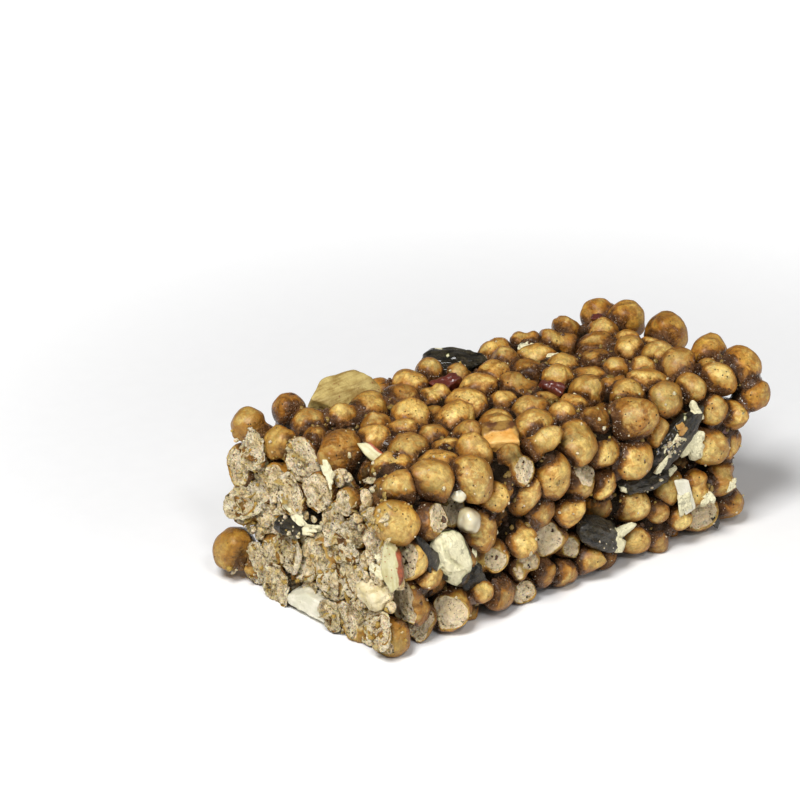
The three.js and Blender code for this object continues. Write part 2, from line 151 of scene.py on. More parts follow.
INCLUSIONS = [
    Inclusion("pumpkin_seed_broken", "broken_seed", 2.6, (-20.8, -15.2, 11.0),
              (0.42, 0.05, -0.9), (-0.35, -0.9, 0), (10.0, 4.9, 3.0)),
    Inclusion("pumpkin_seed_upper", "seed", 1.4, (17.6, -15.0, 16.4),
              (0.79, -0.06, 0.61), (-0.25, -0.9, 0.3), (10.8, 3.6, 2.4)),
    Inclusion("pumpkin_seed_middle", "seed", 1.4, (13.2, -14.2, 11.7),
              (1, -0.05, 0.02), (0, -0.6, 0.8), (10.0, 3.6, 2.2)),
    Inclusion("pumpkin_seed_lower", "seed", 1.4, (4.8, -14.7, 6.2),
              (0.86, 0, -0.5), (0.1, -0.8, 0.6), (9.6, 4.4, 2.2)),
    Inclusion("pumpkin_seed_back", "seed", 1.6, (3.6, 13.6, 21.9),
              (0.8, -0.6, 0), (-0.1, -0.15, 1), (9.0, 4.6, 2.2)),
    Inclusion("pumpkin_seed_end", "seed", 1.0, (-29.6, 4.2, 11.8),
              (0.1, -0.97, 0.16), (-0.35, 0, 0.94), (8.4, 4.8, 2.0)),
    Inclusion("seed_sliver_right", "sliver", 1.4, (18.5, -16.0, 8.0),
              (0.3, 0, -0.95), (-0.3, -0.95, 0), (5.6, 1.8, 1.1)),
    Inclusion("almond_slice_back", "slice", 1.6, (-15.2, 14.0, 22.5),
              (1, 0.05, 0.04), (0, -0.45, 0.9), (8.8, 4.8, 2.0)),
    Inclusion("almond_sliver_top", "red_sliver", 1.4, (-23.3, -2.7, 21.9),
              (0.2, -0.85, -0.35), (-0.6, -0.3, 0.75), (3.8, 1.7, 1.1)),
    Inclusion("almond_sliver_corner", "red_sliver", 1.4, (-30.2, -15.0, 12.9),
              (0.1, 0, -1), (-0.75, -0.65, 0), (6.0, 2.6, 1.2)),
    Inclusion("nut_chunk_top", "nut", 1.2, (-8.2, -9.6, 21.6),
              (0.85, -0.5, 0), (-0.1, -0.3, 0.95), (5.0, 4.0, 3.4)),
    Inclusion("nut_chunk_end", "pale_nut", 0.6, (-30.2, -12.0, 7.8),
              (0, 1, 0.1), (-1, 0, 0), (4.4, 4.0, 3.8)),
    Inclusion("nut_slab_end", "white_slab", 0.4, (-30.2, 0.4, 1.9),
              (0, 1, 0.04), (-1, 0, 0.1), (8.6, 3.0, 3.4)),
    Inclusion("candied_piece_front", "candied", 1.4, (-18.0, -15.3, 15.5),
              (0.92, 0, -0.38), (-0.3, -0.95, 0.1), (3.2, 3.2, 3.0)),
    Inclusion("candied_piece_upper", "candied", 1.2, (-18.7, -14.1, 19.2),
              (0.6, 0, 0.8), (-0.3, -0.95, 0.1), (2.5, 2.4, 2.4)),
    Inclusion("fruit_piece_left", "fruit", 1.0, (-2.4, 8.0, 22.1),
              (0.9, -0.2, 0.2), (-0.1, -0.3, 0.95), (3.8, 2.6, 2.0)),
    Inclusion("fruit_piece_middle", "fruit", 1.0, (7.2, -2.0, 22.2),
              (0.4, -0.85, -0.3), (-0.3, -0.3, 0.9), (3.6, 1.9, 1.7)),
]


# ---------------------------------------------------------------- small helpers
def unit(way):
    """The same way with length 1."""
    return way / np.linalg.norm(way, axis=-1, keepdims=True)


def ease(value, low, high):
    """0 below low, 1 above high, and a smooth rise between."""
    share = np.clip((value - low) / (high - low), 0, 1)
    return share * share * (3 - 2 * share)


RELIEF_TURN = np.linalg.qr(np.random.default_rng(5).normal(size=(3, 3)))[0]


LATTICE = 32
PORE_LATTICE = 24


def relief(points, size, seed):
    """Smooth uneven relief from -1 to 1, whose lumps measure about size mm. Each seed
    gives another pattern."""
    lattice = np.random.default_rng(seed).uniform(-1, 1, (LATTICE, LATTICE, LATTICE))
    steps = points @ RELIEF_TURN / size
    base = np.floor(steps).astype(int)
    share = steps - base
    share = share * share * (3 - 2 * share)
    total = np.zeros(len(points))
    for dx in (0, 1):
        for dy in (0, 1):
            for dz in (0, 1):
                corner = (base + (dx, dy, dz)) % LATTICE
                weight = np.abs(1 - dx - share[:, 0])
                weight = weight * np.abs(1 - dy - share[:, 1])
                weight = weight * np.abs(1 - dz - share[:, 2])
                total += weight * lattice[corner[:, 0], corner[:, 1], corner[:, 2]]
    return total


def pore_reach(points, size, seed):
    """How far each point lies from the nearest of many strewn pores, in pore spacings."""
    count = PORE_LATTICE
    strewn = np.random.default_rng(seed).uniform(0, 1, (count, count, count, 3))
    steps = points / size
    base = np.floor(steps).astype(int)
    nearest = np.full(len(points), 4.0)
    for shift in np.ndindex(3, 3, 3):
        cell = base + shift - 1
        wrapped = cell % count
        middle = cell + strewn[wrapped[:, 0], wrapped[:, 1], wrapped[:, 2]]
        nearest = np.minimum(nearest, ((steps - middle) ** 2).sum(1))
    return np.sqrt(nearest)


def foam_relief(points):
    """Height in mm of torn foam: lumps, burst pores and the walls between them."""
    lumps = 0.16 * relief(points, 1.2, 73) + 0.12 * relief(points, 0.5, 74)
    burst = 1 - ease(pore_reach(points, 0.75, 75), 0.12, 0.45)
    small = 1 - ease(pore_reach(points, 0.42, 76), 0.15, 0.50)
    return lumps - 0.30 * burst - 0.16 * small


# ---------------------------------------------------------------- pressing the crisps
@dataclass
class Ball:
    """One crisp as it lies in the bar, with the balls that press on it."""
    number: int
    at: np.ndarray
    radius: float
    near: list = field(default_factory=list)
    outward: np.ndarray = None
    open_way: np.ndarray = None
    open_at: float = 0.0


def keep_out_balls(piece):
    """Small balls that fill an inclusion and the free space in front of it."""
    long, wide, thick = piece.size
    radius = min(wide, thick) / 2 + FIT_GAP
    basis = piece.basis()
    layers = 1 + math.ceil(piece.clear / (2 * radius))
    columns = max(1, math.floor(long / (1.7 * radius) + 0.5))
    rows = max(1, math.floor(wide / (1.9 * radius) + 0.5))
    reach = max(0, long / 2 - radius + FIT_GAP)
    side = max(0, wide / 2 - radius + FIT_GAP)
    places = []
    for layer in range(layers):
        out = layer * piece.clear / max(1, layers - 1)
        for column in range(columns):
            u = reach * (2 * column / (columns - 1) - 1) if columns > 1 else 0
            for row in range(rows):
                v = side * (2 * row / (rows - 1) - 1) if rows > 1 else 0
                places.append(basis @ (u, v, out) + piece.at)
    return places, radius


def strewn_balls():
    """The starting places, radii and wall gives of every ball, before the pressing."""
    places = [mark[:3] for mark in LANDMARK_CRISPS]
    radii = [mark[3] for mark in LANDMARK_CRISPS]
    for piece in INCLUSIONS:
        filling, radius = keep_out_balls(piece)
        places += [tuple(place) for place in filling]
        radii += [radius] * len(filling)
    fixed = len(places)
    gives = [0.0] * fixed
    state = PACK_SEED
    for _ in range(CRISP_COUNT):
        draws = []
        for _ in range(5):
            state = (state * 1664525 + 1013904223) % 2**32
            draws.append(state / 2**32)
        x = BREAK_X - BROKEN_END_SPARE + draws[0] * (BAR_LENGTH + BROKEN_END_SPARE)
        places.append((x, (draws[1] - 0.5) * BAR_WIDTH, draws[2] * BAR_HEIGHT))
        radii.append(CRISP_RADIUS_LOW + CRISP_RADIUS_SPREAD * draws[3])
        gives.append(WALL_GIVE_LOW + WALL_GIVE_SPREAD * draws[4])
    return np.array(places, float), np.array(radii), np.array(gives), fixed


def press(places, radii, gives, fixed):
    """Presses the strewn balls apart until they fill the block evenly."""
    half = np.array([BAR_LENGTH + BROKEN_END_SPARE, BAR_WIDTH, BAR_HEIGHT]) / 2 - EDGE_ROUND
    middle = np.array([-BROKEN_END_SPARE / 2, 0, BAR_HEIGHT / 2])
    reach = radii[:, None] + radii[None]
    for _ in range(PRESS_STEPS):
        apart = places[:, None] - places[None]
        distance = np.sqrt((apart ** 2).sum(-1))
        np.fill_diagonal(distance, np.inf)
        push = np.maximum(reach - distance, 0) * PRESS_SHARE / distance
        moved = places + (apart * push[..., None]).sum(1)
        offset = moved - middle
        past = offset - np.clip(offset, -half, half)
        distance = np.sqrt((past ** 2).sum(1))
        allowed = EDGE_ROUND - radii + gives
        back = np.where(distance > allowed, 1 - allowed / np.maximum(distance, 1e-9), 0)
        moved -= past * back[:, None]
        places[fixed:] = moved[fixed:]
    return places


def break_at(y, z):
    """How far along X the broken face lies at a place on it."""
    wave = np.sin(0.55 * y + 0.9) * np.sin(0.5 * z + 0.4) + 0.5 * np.sin(1.1 * y - 0.8 * z)
    rise = np.maximum(0, z - BREAK_LEAN_FROM) / (BAR_HEIGHT - BREAK_LEAN_FROM)
    lean = BREAK_LEAN * rise * np.exp(-((y / BREAK_LEAN_WIDTH) ** 2))
    return BREAK_X + lean + BREAK_ROUGHNESS * wave


WALL_REACH = 1.6        # how soon a wall's own way takes over near it, mm
UNDERSIDE_SHADE = 1.0   # how much deeper the underside counts than it lies
BREAK_SHOWS = 2.6       # crisps whose front lies this close behind the break gape too
OPEN_LEAST = 0.30       # how far out of a crisp's middle such a mouth lies, of its radius
OPEN_MOST = 0.62
TILT = 0.18             # how far a broken face may lean
TILT_TURN = 0.08        # how far they all turn to the front and up
PRESS_REACH = 1.15      # crisps nearer than this times their two radii press on each other


def crisps_of_the_bar():
    """The crisps of this half, those that the break opened, and what presses on each."""
    places, radii, gives, fixed = strewn_balls()
    places = press(places, radii, gives, fixed)
    crisp = np.ones(len(places), bool)
    crisp[len(LANDMARK_CRISPS):fixed] = False
    order = np.cumsum(crisp) - 1
    balls = []
    standing = []
    for index in range(len(places)):
        at, radius = places[index], radii[index]
        if not crisp[index]:
            standing.append((at, radius, False))
            continue
        number = int(order[index])
        face = break_at(at[1], at[2]) + BREAK_STEP * math.sin(7.3 * number)
        upper = at[2] > BAR_HEIGHT - WHOLE_LAYER_DEPTH
        landmark = number < len(LANDMARK_CRISPS)
        gone = at[0] < face + WHOLE_LAYER_SETBACK if upper else at[0] + radius < face + SLIVER_LEFT
        if gone and not landmark:
            continue
        ball = Ball(number, at, radius)
        sliced = LANDMARK_CRISPS[number][4] if landmark else not upper and at[0] - radius < face
        shows = not landmark and not upper and at[0] - radius < face + BREAK_SHOWS
        if sliced or shows:
            rng = np.random.default_rng(PACK_SEED + number)
            lean = rng.uniform(-TILT, TILT, 2)
            ball.open_way = unit(np.array([-1.0, lean[0] - TILT_TURN, lean[1] + TILT_TURN]))
            front = face - at[0] if sliced else -radius
            ball.open_at = min(-front, radius * rng.uniform(OPEN_LEAST, OPEN_MOST))
        balls.append(ball)
        standing.append((at, radius, True))
    for place, way, share in OPEN_CRISPS:
        ball = min(balls, key=lambda other: np.linalg.norm(other.at - place))
        ball.open_way = unit(np.array(way, float))
        ball.open_at = ball.radius * share
    for ball in balls:
        ball.near = [other for other in standing if touches(ball, other)]
        ball.outward = way_out(ball.at)
    return balls


def touches(ball, other):
    """True if another ball lies close enough to press on this one or wet it."""
    distance = np.linalg.norm(other[0] - ball.at)
    return 1e-6 < distance < (other[1] + ball.radius) * PRESS_REACH


def way_out(at):
    """The way from a place in the bar to the open air, over its nearest walls."""
    x, y, z = at
    room = np.array([
        [x - break_at(y, z), BAR_LENGTH / 2 - x],
        [BAR_WIDTH / 2 + y, BAR_WIDTH / 2 - y],
        [z + UNDERSIDE_SHADE, BAR_HEIGHT - z],
    ])
    pull = np.exp(-room / WALL_REACH)
    return unit(pull[:, 1] - pull[:, 0])


# ---------------------------------------------------------------- the form of a crisp
CRISP_SEED = 5200
CONTACT_SOFT = 0.13     # how soft the edge of a pressed flat is
SPRING_BACK = 1.035     # how much larger a crisp is than its ball
WAISTED_SHARE = 0.14    # how many crisps have a waist, a bend or a sunken seam
BENT_SHARE = 0.25
SEAMED_SHARE = 0.3


def crisp_form(ball, rays, shrink=0.0, plain=False):
    """One crisp's outside along the given rays, in mm from the bar's middle: lumpy,
    dented and pressed flat where it meets its neighbours."""
    rng = np.random.default_rng(CRISP_SEED + ball.number)
    turn = np.linalg.qr(rng.normal(size=(3, 3)))[0]
    longer = 1 + 0.50 * rng.random() ** 1.4
    stretch = np.array([longer, 1.0, longer ** -0.35])
    egg = rng.uniform(-0.15, 0.15)
    waist = 0.26 if rng.random() < WAISTED_SHARE else 0.0
    bend = rng.uniform(0.12, 0.30) if rng.random() < BENT_SHARE else 0.0
    swell = np.full(len(rays), SPRING_BACK)
    for _ in range(6):
        way = unit(rng.normal(size=3)) * rng.uniform(1.6, 4.2)
        swell += 0.030 * np.sin(rays @ way + rng.uniform(0, 6.3))
    for _ in range(rng.integers(1, 4)):
        near = (rays @ unit(rng.normal(size=3)) - 1) * 2
        swell -= rng.uniform(0.05, 0.14) * np.exp(near / rng.uniform(0.3, 0.55) ** 2)
    for _ in range(rng.integers(2, 7)):
        near = (rays @ unit(rng.normal(size=3)) - 1) * 2
        swell += rng.uniform(0.03, 0.10) * np.exp(near / rng.uniform(0.12, 0.26) ** 2)
    if rng.random() < SEAMED_SHARE:
        seam = rays @ unit(rng.normal(size=3)) - rng.uniform(-0.35, 0.35)
        swell -= rng.uniform(0.04, 0.10) * np.exp(-(seam / 0.12) ** 2)
    lying = (rays * (swell * ball.radius - shrink)[:, None]) @ turn
    along = lying[:, 0] / ball.radius
    lying[:, 1:] *= (1 + egg * along - waist * np.exp(-(along / 0.3) ** 2))[:, None]
    lying[:, 2] += bend * ball.radius * (0.4 - along ** 2)
    points = (lying * stretch) @ turn.T
    if not plain:
        crinkle = 0.13 * relief(points + ball.at, 1.05, ball.number)
        points += rays * crinkle[:, None]
    for middle, size, _ in ball.near:
        apart = middle - ball.at
        distance = np.linalg.norm(apart)
        way = apart / distance
        level = (distance ** 2 + ball.radius ** 2 - size ** 2) / (2 * distance) - shrink
        over = points @ way - level
        points -= way * (CONTACT_SOFT * np.logaddexp(0, over / CONTACT_SOFT))[:, None]
    return points + ball.at


def gaping_face(points, ball, recess=0.0, plain=False):
    """Cuts a crisp off at its broken face, with foam standing and pitted on it. Gives the
    points and how far each is foam, from 0 on the skin to 1."""
    if ball.open_way is None:
        return points, np.zeros(len(points))
    level = ball.open_at - recess
    out = (points - ball.at) @ ball.open_way - level
    if plain:
        return points - ball.open_way * np.maximum(out, 0)[:, None], np.zeros(len(points))
    ragged = 0.20 * relief(points, 1.4, 71) + 0.14 * relief(points, 0.5, 72)
    out += ragged
    torn = ease(out, -0.04, 0.12)
    points = points - ball.open_way * np.maximum(out, 0)[:, None]
    points = points + ball.open_way * (torn * foam_relief(points))[:, None]
    return points, ease(out, 0.0, 0.42)


SYRUP_SHADE_REACH = 1.9         # how far from a neighbour the syrup and its painted crevice shade creep up a crisp, mm
END_DRYNESS = 0.65      # how much less syrup and painted crevice shade the broken end carries
END_DRIES = (26.5, 29.5)    # where towards that end it dries, and where crumbs cover it
END_CRUMBS = (27.0, 29.5)


def syrup_and_shade_share(points, ball):
    """How much set syrup lies on each point of a crisp, with painted crevice shade: most beside its
    neighbours.
    """
    gap = np.full(len(points), 3.0)
    for middle, size, crisp in ball.near:
        if crisp:
            gap = np.minimum(gap, np.linalg.norm(points - middle, axis=1) - size)
    dry_end = 1 - END_DRYNESS * ease(-points[:, 0], *END_DRIES)
    return (1 - ease(gap, 0.0, SYRUP_SHADE_REACH)) * dry_end


def lit_outside_share(points, ball):
    """How far each point of a crisp stands out to the open air: 0 inside, 1 outside. It sets the
    painted light on the crisp's outside.
    """
    out = (points - ball.at) @ ball.outward / ball.radius
    return ease(out, -0.25, 0.95)


BOX_SPARE = 0.02
SETTLING = 0.35         # below this height the underside presses ever flatter, mm


def inside_box(points):
    """Keeps points in mm inside the bar's own box, with a soft underside."""
    low = np.array(cad_box[0]) / MM + BOX_SPARE
    high = np.array(cad_box[1]) / MM - BOX_SPARE
    low[2] = 0.0
    points = points + BAR_SHIFT
    settled = SETTLING * np.exp((points[:, 2] - SETTLING) / SETTLING)
    points[:, 2] = np.where(points[:, 2] < SETTLING, settled, points[:, 2])
    return np.clip(points, low, high)


# ---------------------------------------------------------------- meshes from bmesh balls
def ball_mesh(steps):
    """A bmesh ball as numbers: its corners, one way each, and its faces."""
    shape = bmesh.new()
    bmesh.ops.create_icosphere(shape, subdivisions=steps, radius=1.0)
    rays = np.array([corner.co[:] for corner in shape.verts])
    faces = np.array([[corner.index for corner in face.verts] for face in shape.faces])
    shape.free()
    return unit(rays), faces


def write_mesh(name, points, faces):
    """A mesh of triangles whose corners are given in metres."""
    mesh = bpy.data.meshes.new(name)
    mesh.vertices.add(len(points))
    mesh.vertices.foreach_set("co", points.astype(np.float32).ravel())
    mesh.loops.add(faces.size)
    mesh.loops.foreach_set("vertex_index", faces.astype(np.int32).ravel())
    mesh.polygons.add(len(faces))
    mesh.polygons.foreach_set("loop_start", np.arange(0, faces.size, 3, dtype=np.int32))
    mesh.update(calc_edges=True)
    return mesh


def repeat_faces(faces, corners, count):
    """The faces of count copies of a form that has the given number of corners."""
    steps = np.arange(count)[:, None, None] * corners
    return (faces[None] + steps).reshape(-1, 3)


def finish_piece(name, mesh, material):
    """Makes the object of a mesh that is already in its place, in metres."""
    mesh.shade_smooth()
    mesh.materials.append(material)
    piece = bpy.data.objects.new(name, mesh)
    bpy.context.scene.collection.objects.link(piece)
    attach(piece, "root")
    return piece


def write_marks(mesh, marks):
    """Stores numbers for each corner of a mesh under their names."""
    for mark, values in marks.items():
        values = np.asarray(values, np.float32)
        if values.ndim == 2:
            layer = mesh.attributes.new(mark, "FLOAT_VECTOR", "POINT")
            layer.data.foreach_set("vector", values.ravel())
        else:
            layer = mesh.attributes.new(mark, "FLOAT", "POINT")
            layer.data.foreach_set("value", values)


class Heap:
    """Many bodies shaped from the same ball, which become one piece."""

    def __init__(self, steps):
        self.rays, self.faces = ball_mesh(steps)
        self.forms = []
        self.marks = {}

    def add(self, points, **marks):
        """Adds a body by its corners in mm. Each mark is one number or one for each corner."""
        self.forms.append(points)
        for mark, value in marks.items():
            if np.ndim(value) == 0:
                value = np.full(len(points), value)
            self.marks.setdefault(mark, []).append(value)

    def finish(self, name, material):
        """Makes the piece."""
        points = inside_box(np.concatenate(self.forms)) * MM
        faces = repeat_faces(self.faces, len(self.rays), len(self.forms))
        mesh = write_mesh(name, points, faces)
        write_marks(mesh, {mark: np.concatenate(parts) for mark, parts in self.marks.items()})
        return finish_piece(name, mesh, material)


# ---------------------------------------------------------------- shader helpers
def paint(red, green, blue):
    """A screen colour, 0 to 255, as the shader's linear colour."""
    channels = []
    for value in (red, green, blue):
        value /= 255
        channels.append(value / 12.92 if value <= 0.04045 else ((value + 0.055) / 1.055) ** 2.4)
    return (*channels, 1.0)


def wire(tree, node, inputs):
    """Sets a node's inputs, or links those whose value comes from another node."""
    for socket, value in inputs.items():
        if isinstance(value, bpy.types.NodeSocket):
            tree.links.new(value, node.inputs[socket])
        else:
            node.inputs[socket].default_value = value


def add_node(tree, kind, inputs, **settings):
    """Adds a node, sets its settings, and wires its inputs."""
    node = tree.nodes.new(kind)
    for setting, value in settings.items():
        setattr(node, setting, value)
    wire(tree, node, inputs)
    return node


def place_of(tree):
    return add_node(tree, "ShaderNodeTexCoord", {}).outputs["Object"]


def mark_of(tree, mark, output="Fac"):
    """A number, or a vector, that was stored for each corner of the piece."""
    return add_node(tree, "ShaderNodeAttribute", {}, attribute_name=mark).outputs[output]


def rim_of(tree):
    """0 where a surface faces the eye, 1 at its rim."""
    return add_node(tree, "ShaderNodeLayerWeight", {"Blend": 0.5}).outputs["Facing"]


def drawn_out(tree, place, scale):
    """A place whose patterns are drawn out along the ways of a small scale."""
    return add_node(tree, "ShaderNodeMapping", {"Vector": place, "Scale": scale}).outputs["Vector"]


def noise(tree, place, size, detail=2.0, roughness=0.5, distortion=0.0):
    """Soft noise whose patches measure about size mm."""
    inputs = {"Vector": place, "Scale": 0.5 / (size * MM), "Detail": detail,
              "Roughness": roughness, "Distortion": distortion}
    return add_node(tree, "ShaderNodeTexNoise", inputs).outputs["Fac"]


def cells(tree, place, size):
    """How far each place lies from the middle of its cell, the cells about size mm wide."""
    inputs = {"Vector": place, "Scale": 1 / (size * MM)}
    return add_node(tree, "ShaderNodeTexVoronoi", inputs).outputs["Distance"]


def remap(tree, value, low, high, to_low=0.0, to_high=1.0):
    """A value's stretch from low to high, eased to another stretch."""
    inputs = {"Value": value, "From Min": low, "From Max": high}
    inputs |= {"To Min": to_low, "To Max": to_high}
    kind = "ShaderNodeMapRange"
    return add_node(tree, kind, inputs, interpolation_type="SMOOTHSTEP").outputs["Result"]


def blend(tree, share, first, second, how="MIX"):
    """Mixes two colours."""
    inputs = {0: share, 6: first, 7: second}
    return add_node(tree, "ShaderNodeMix", inputs, data_type="RGBA", blend_type=how).outputs[2]


def maths(tree, operation, first, second):
    return add_node(tree, "ShaderNodeMath", {0: first, 1: second}, operation=operation).outputs[0]


def times(tree, first, second):
    return maths(tree, "MULTIPLY", first, second)


def plus(tree, first, second):
    return maths(tree, "ADD", first, second)


def minus(tree, first, second):
    return maths(tree, "SUBTRACT", first, second)


def new_group(name, inputs, outputs):
    """A shader node group with named number, vector or colour sockets."""
    group = bpy.data.node_groups.new(name, "ShaderNodeTree")
    kinds = {"number": "NodeSocketFloat", "vector": "NodeSocketVector", "colour": "NodeSocketColor"}
    for socket, kind in inputs.items():
        group.interface.new_socket(name=socket, in_out="INPUT", socket_type=kinds[kind])
    for socket, kind in outputs.items():
        group.interface.new_socket(name=socket, in_out="OUTPUT", socket_type=kinds[kind])
    return group, group.nodes.new("NodeGroupInput").outputs, group.nodes.new("NodeGroupOutput")


def use_group(tree, group, inputs):
    return add_node(tree, "ShaderNodeGroup", inputs, node_tree=group).outputs


def baked_mottle_group():
    """Toasted and yellow patches, speckle, pinholes and low lumps of a puffed skin."""
    group, given, result = new_group(
        "baked_mottle", {"Place": "vector"},
        {"Toasted": "number", "Yellow": "number", "Speckle": "number", "Pinholes": "number",
         "Lumps": "number", "Blush": "number"})
    place = given["Place"]
    patches = noise(group, place, 1.2, 5.0, 0.62, 0.6)
    drawn = drawn_out(group, place, (1.0, 1.0, 0.7))
    near_pin = remap(group, cells(group, drawn, 0.62), 0.10, 0.19, 1.0, 0.0)
    chosen = remap(group, noise(group, place, 1.1, 2.0), 0.50, 0.58)
    coarse = times(group, noise(group, place, 0.60, 2.0, 0.5), 0.6)
    fine = times(group, noise(group, place, 0.26, 2.0, 0.6), 0.4)
    wire(group, result, {
        "Toasted": remap(group, patches, 0.40, 0.62),
        "Yellow": remap(group, noise(group, place, 1.9, 3.0, 0.6, 0.4), 0.46, 0.64),
        "Speckle": noise(group, place, 0.40, 4.0, 0.68),
        "Pinholes": times(group, near_pin, chosen),
        "Lumps": plus(group, coarse, fine),
        "Blush": noise(group, place, 0.55, 3.0, 0.65, 0.8),
    })
    return group


def puffed_foam_group():
    """The pale inside of a puffed crisp: soft grey grain, fine pores and a few open pits."""
    group, given, result = new_group(
        "puffed_foam", {"Place": "vector"},
        {"Pores": "number", "Grain": "number", "Tint": "number", "Height": "number"})
    place = given["Place"]
    fine = remap(group, cells(group, place, 0.36), 0.12, 0.32, 1.0, 0.0)
    porous = remap(group, noise(group, place, 0.7, 2.0, 0.6), 0.40, 0.56, 0.15, 1.0)
    pits = remap(group, cells(group, place, 0.80), 0.08, 0.24, 1.0, 0.0)
    pits = times(group, pits, remap(group, noise(group, place, 1.1, 1.0), 0.46, 0.54))
    pores = maths(group, "MAXIMUM", times(group, times(group, fine, porous), 0.75), pits)
    fuzz = noise(group, place, 0.15, 3.0, 0.7)
    wire(group, result, {
        "Pores": pores,
        "Grain": remap(group, noise(group, place, 0.30, 4.0, 0.72), 0.56, 0.38),
        "Tint": remap(group, noise(group, place, 0.8, 3.0, 0.6), 0.36, 0.64),
        "Height": minus(group, fuzz, times(group, pores, 0.8)),
    })
    return group


def sticky_film_group():
    """Set syrup: fine wrinkles, and pale specks caught in it, sugar and dust that also stand for
    painted glints.
    """
    group, given, result = new_group(
        "sticky_film", {"Place": "vector"},
        {"Height": "number", "Specks": "number", "Thick": "number"})
    place = given["Place"]
    coarse = times(group, noise(group, place, 0.36, 3.0, 0.65, 1.0), 0.6)
    fine = times(group, noise(group, place, 0.14, 2.0, 0.6), 0.4)
    specks = remap(group, cells(group, place, 0.36), 0.14, 0.26, 1.0, 0.0)
    chosen = remap(group, noise(group, place, 0.8, 2.0), 0.42, 0.54)
    wire(group, result, {
        "Height": plus(group, coarse, fine),
        "Specks": times(group, specks, chosen),
        "Thick": remap(group, noise(group, place, 1.3, 3.0, 0.6), 0.36, 0.62),
    })
    return group


MOTTLE = baked_mottle_group()
FOAM = puffed_foam_group()
FILM = sticky_film_group()

GOLD = paint(188, 145, 58)
TOAST = paint(140, 90, 32)
# Painted light: the cream of a crisp's bulges that face out and towards the eye.
PAINTED_LIGHT_CREAM = paint(220, 195, 122)
AMBER = paint(90, 50, 12)
HONEY = paint(158, 102, 32)
PIN = paint(34, 22, 14)
SYRUP = paint(112, 78, 50)
SYRUP_DEEP = paint(60, 34, 16)
# Painted shade: near black syrup and dark brown skin deep in the bar.
PAINTED_SHADE_BLACK = paint(9, 4, 1)
PAINTED_SHADE_BROWN = paint(34, 18, 4)
AMBER_SHEEN = (1.0, 0.76, 0.50, 1.0)
# Pale specks in the syrup: sugar, and also painted glints.
SYRUP_SPECK_GLINT = paint(240, 226, 206)
FOAM_PALE = paint(248, 230, 194)
FOAM_SHADE = paint(222, 198, 148)
FOAM_PORE = paint(58, 42, 26)
# Painted light: the foam painted lighter away from the broken end.
FOAM_PAINTED_LIGHT = paint(248, 228, 190)
FOAM_GREY = paint(124, 102, 74)
RIM = paint(172, 142, 72)
THIN_SKIN = paint(134, 102, 42)


def start_material(name):
    """A new material with its shader, and the place on the piece."""
    material = bpy.data.materials.new(name)
    material.use_nodes = True
    tree = material.node_tree
    shader = tree.nodes["Principled BSDF"]
    return material, tree, shader, place_of(tree)


def raise_bump(tree, shader, height, depth):
    """Gives a shader relief of the given depth in mm."""
    inputs = {"Height": height, "Distance": depth * MM, "Strength": 1.0}
    wire(tree, shader, {"Normal": add_node(tree, "ShaderNodeBump", inputs).outputs["Normal"]})


THIN_FROM = -27.2       # where along X the skins start to thin towards the broken end, mm
THIN_TO = -29.4


def baked_skin(tree, mottle, tone, bare):
    """The dry skin of a crisp: golden and toasted, painted light in cream on bulges that face out
    and towards the eye, and honey and amber at its rim as seen, partly the glaze and partly painted
    shade.
    """
    toasted = times(tree, mottle["Toasted"], remap(tree, tone, 0.0, 1.0, 0.45, 1.0))
    skin = blend(tree, toasted, GOLD, TOAST)
    rim = rim_of(tree)
    # Painted light: cream on the bulges that face out of the bar and towards the eye.
    facing = remap(tree, rim, 0.10, 0.70, 0.95, 0.25)
    bulge = times(tree, remap(tree, bare, 0.15, 0.90, 0.10, 1.0), facing)
    painted_light = times(tree, bulge, remap(tree, mottle["Yellow"], 0.0, 1.0, 0.60, 1.0))
    skin = blend(tree, painted_light, skin, PAINTED_LIGHT_CREAM)
    # Honey and then amber towards the rim as seen: the glaze's deeper colour at a slant, and
    # painted shade.
    skin = blend(tree, remap(tree, rim, 0.35, 0.75, 0.0, 0.60), skin, HONEY)
    return blend(tree, remap(tree, rim, 0.60, 1.00, 0.0, 0.70), skin, AMBER)


def open_foam(tree, puff, ending, deep):
    """The pale inside of a broken crisp, greyer at the broken end, lighter away from it as painted
    light, and darker deep down as painted shade.
    """
    inside = blend(tree, puff["Tint"], FOAM_PALE, FOAM_SHADE)
    grey = times(tree, puff["Grain"], remap(tree, ending, 0.0, 1.0, 0.24, 0.60))
    # Painted light: lighter foam away from the broken end.
    inside = blend(tree, remap(tree, ending, 0.0, 1.0, 0.55, 0.0), inside, FOAM_PAINTED_LIGHT)
    inside = blend(tree, grey, inside, FOAM_GREY)
    inside = blend(tree, puff["Pores"], inside, FOAM_PORE)
    # Painted shade: darker deeper in the bar.
    return blend(tree, times(tree, deep, 0.4), inside, FOAM_PORE)


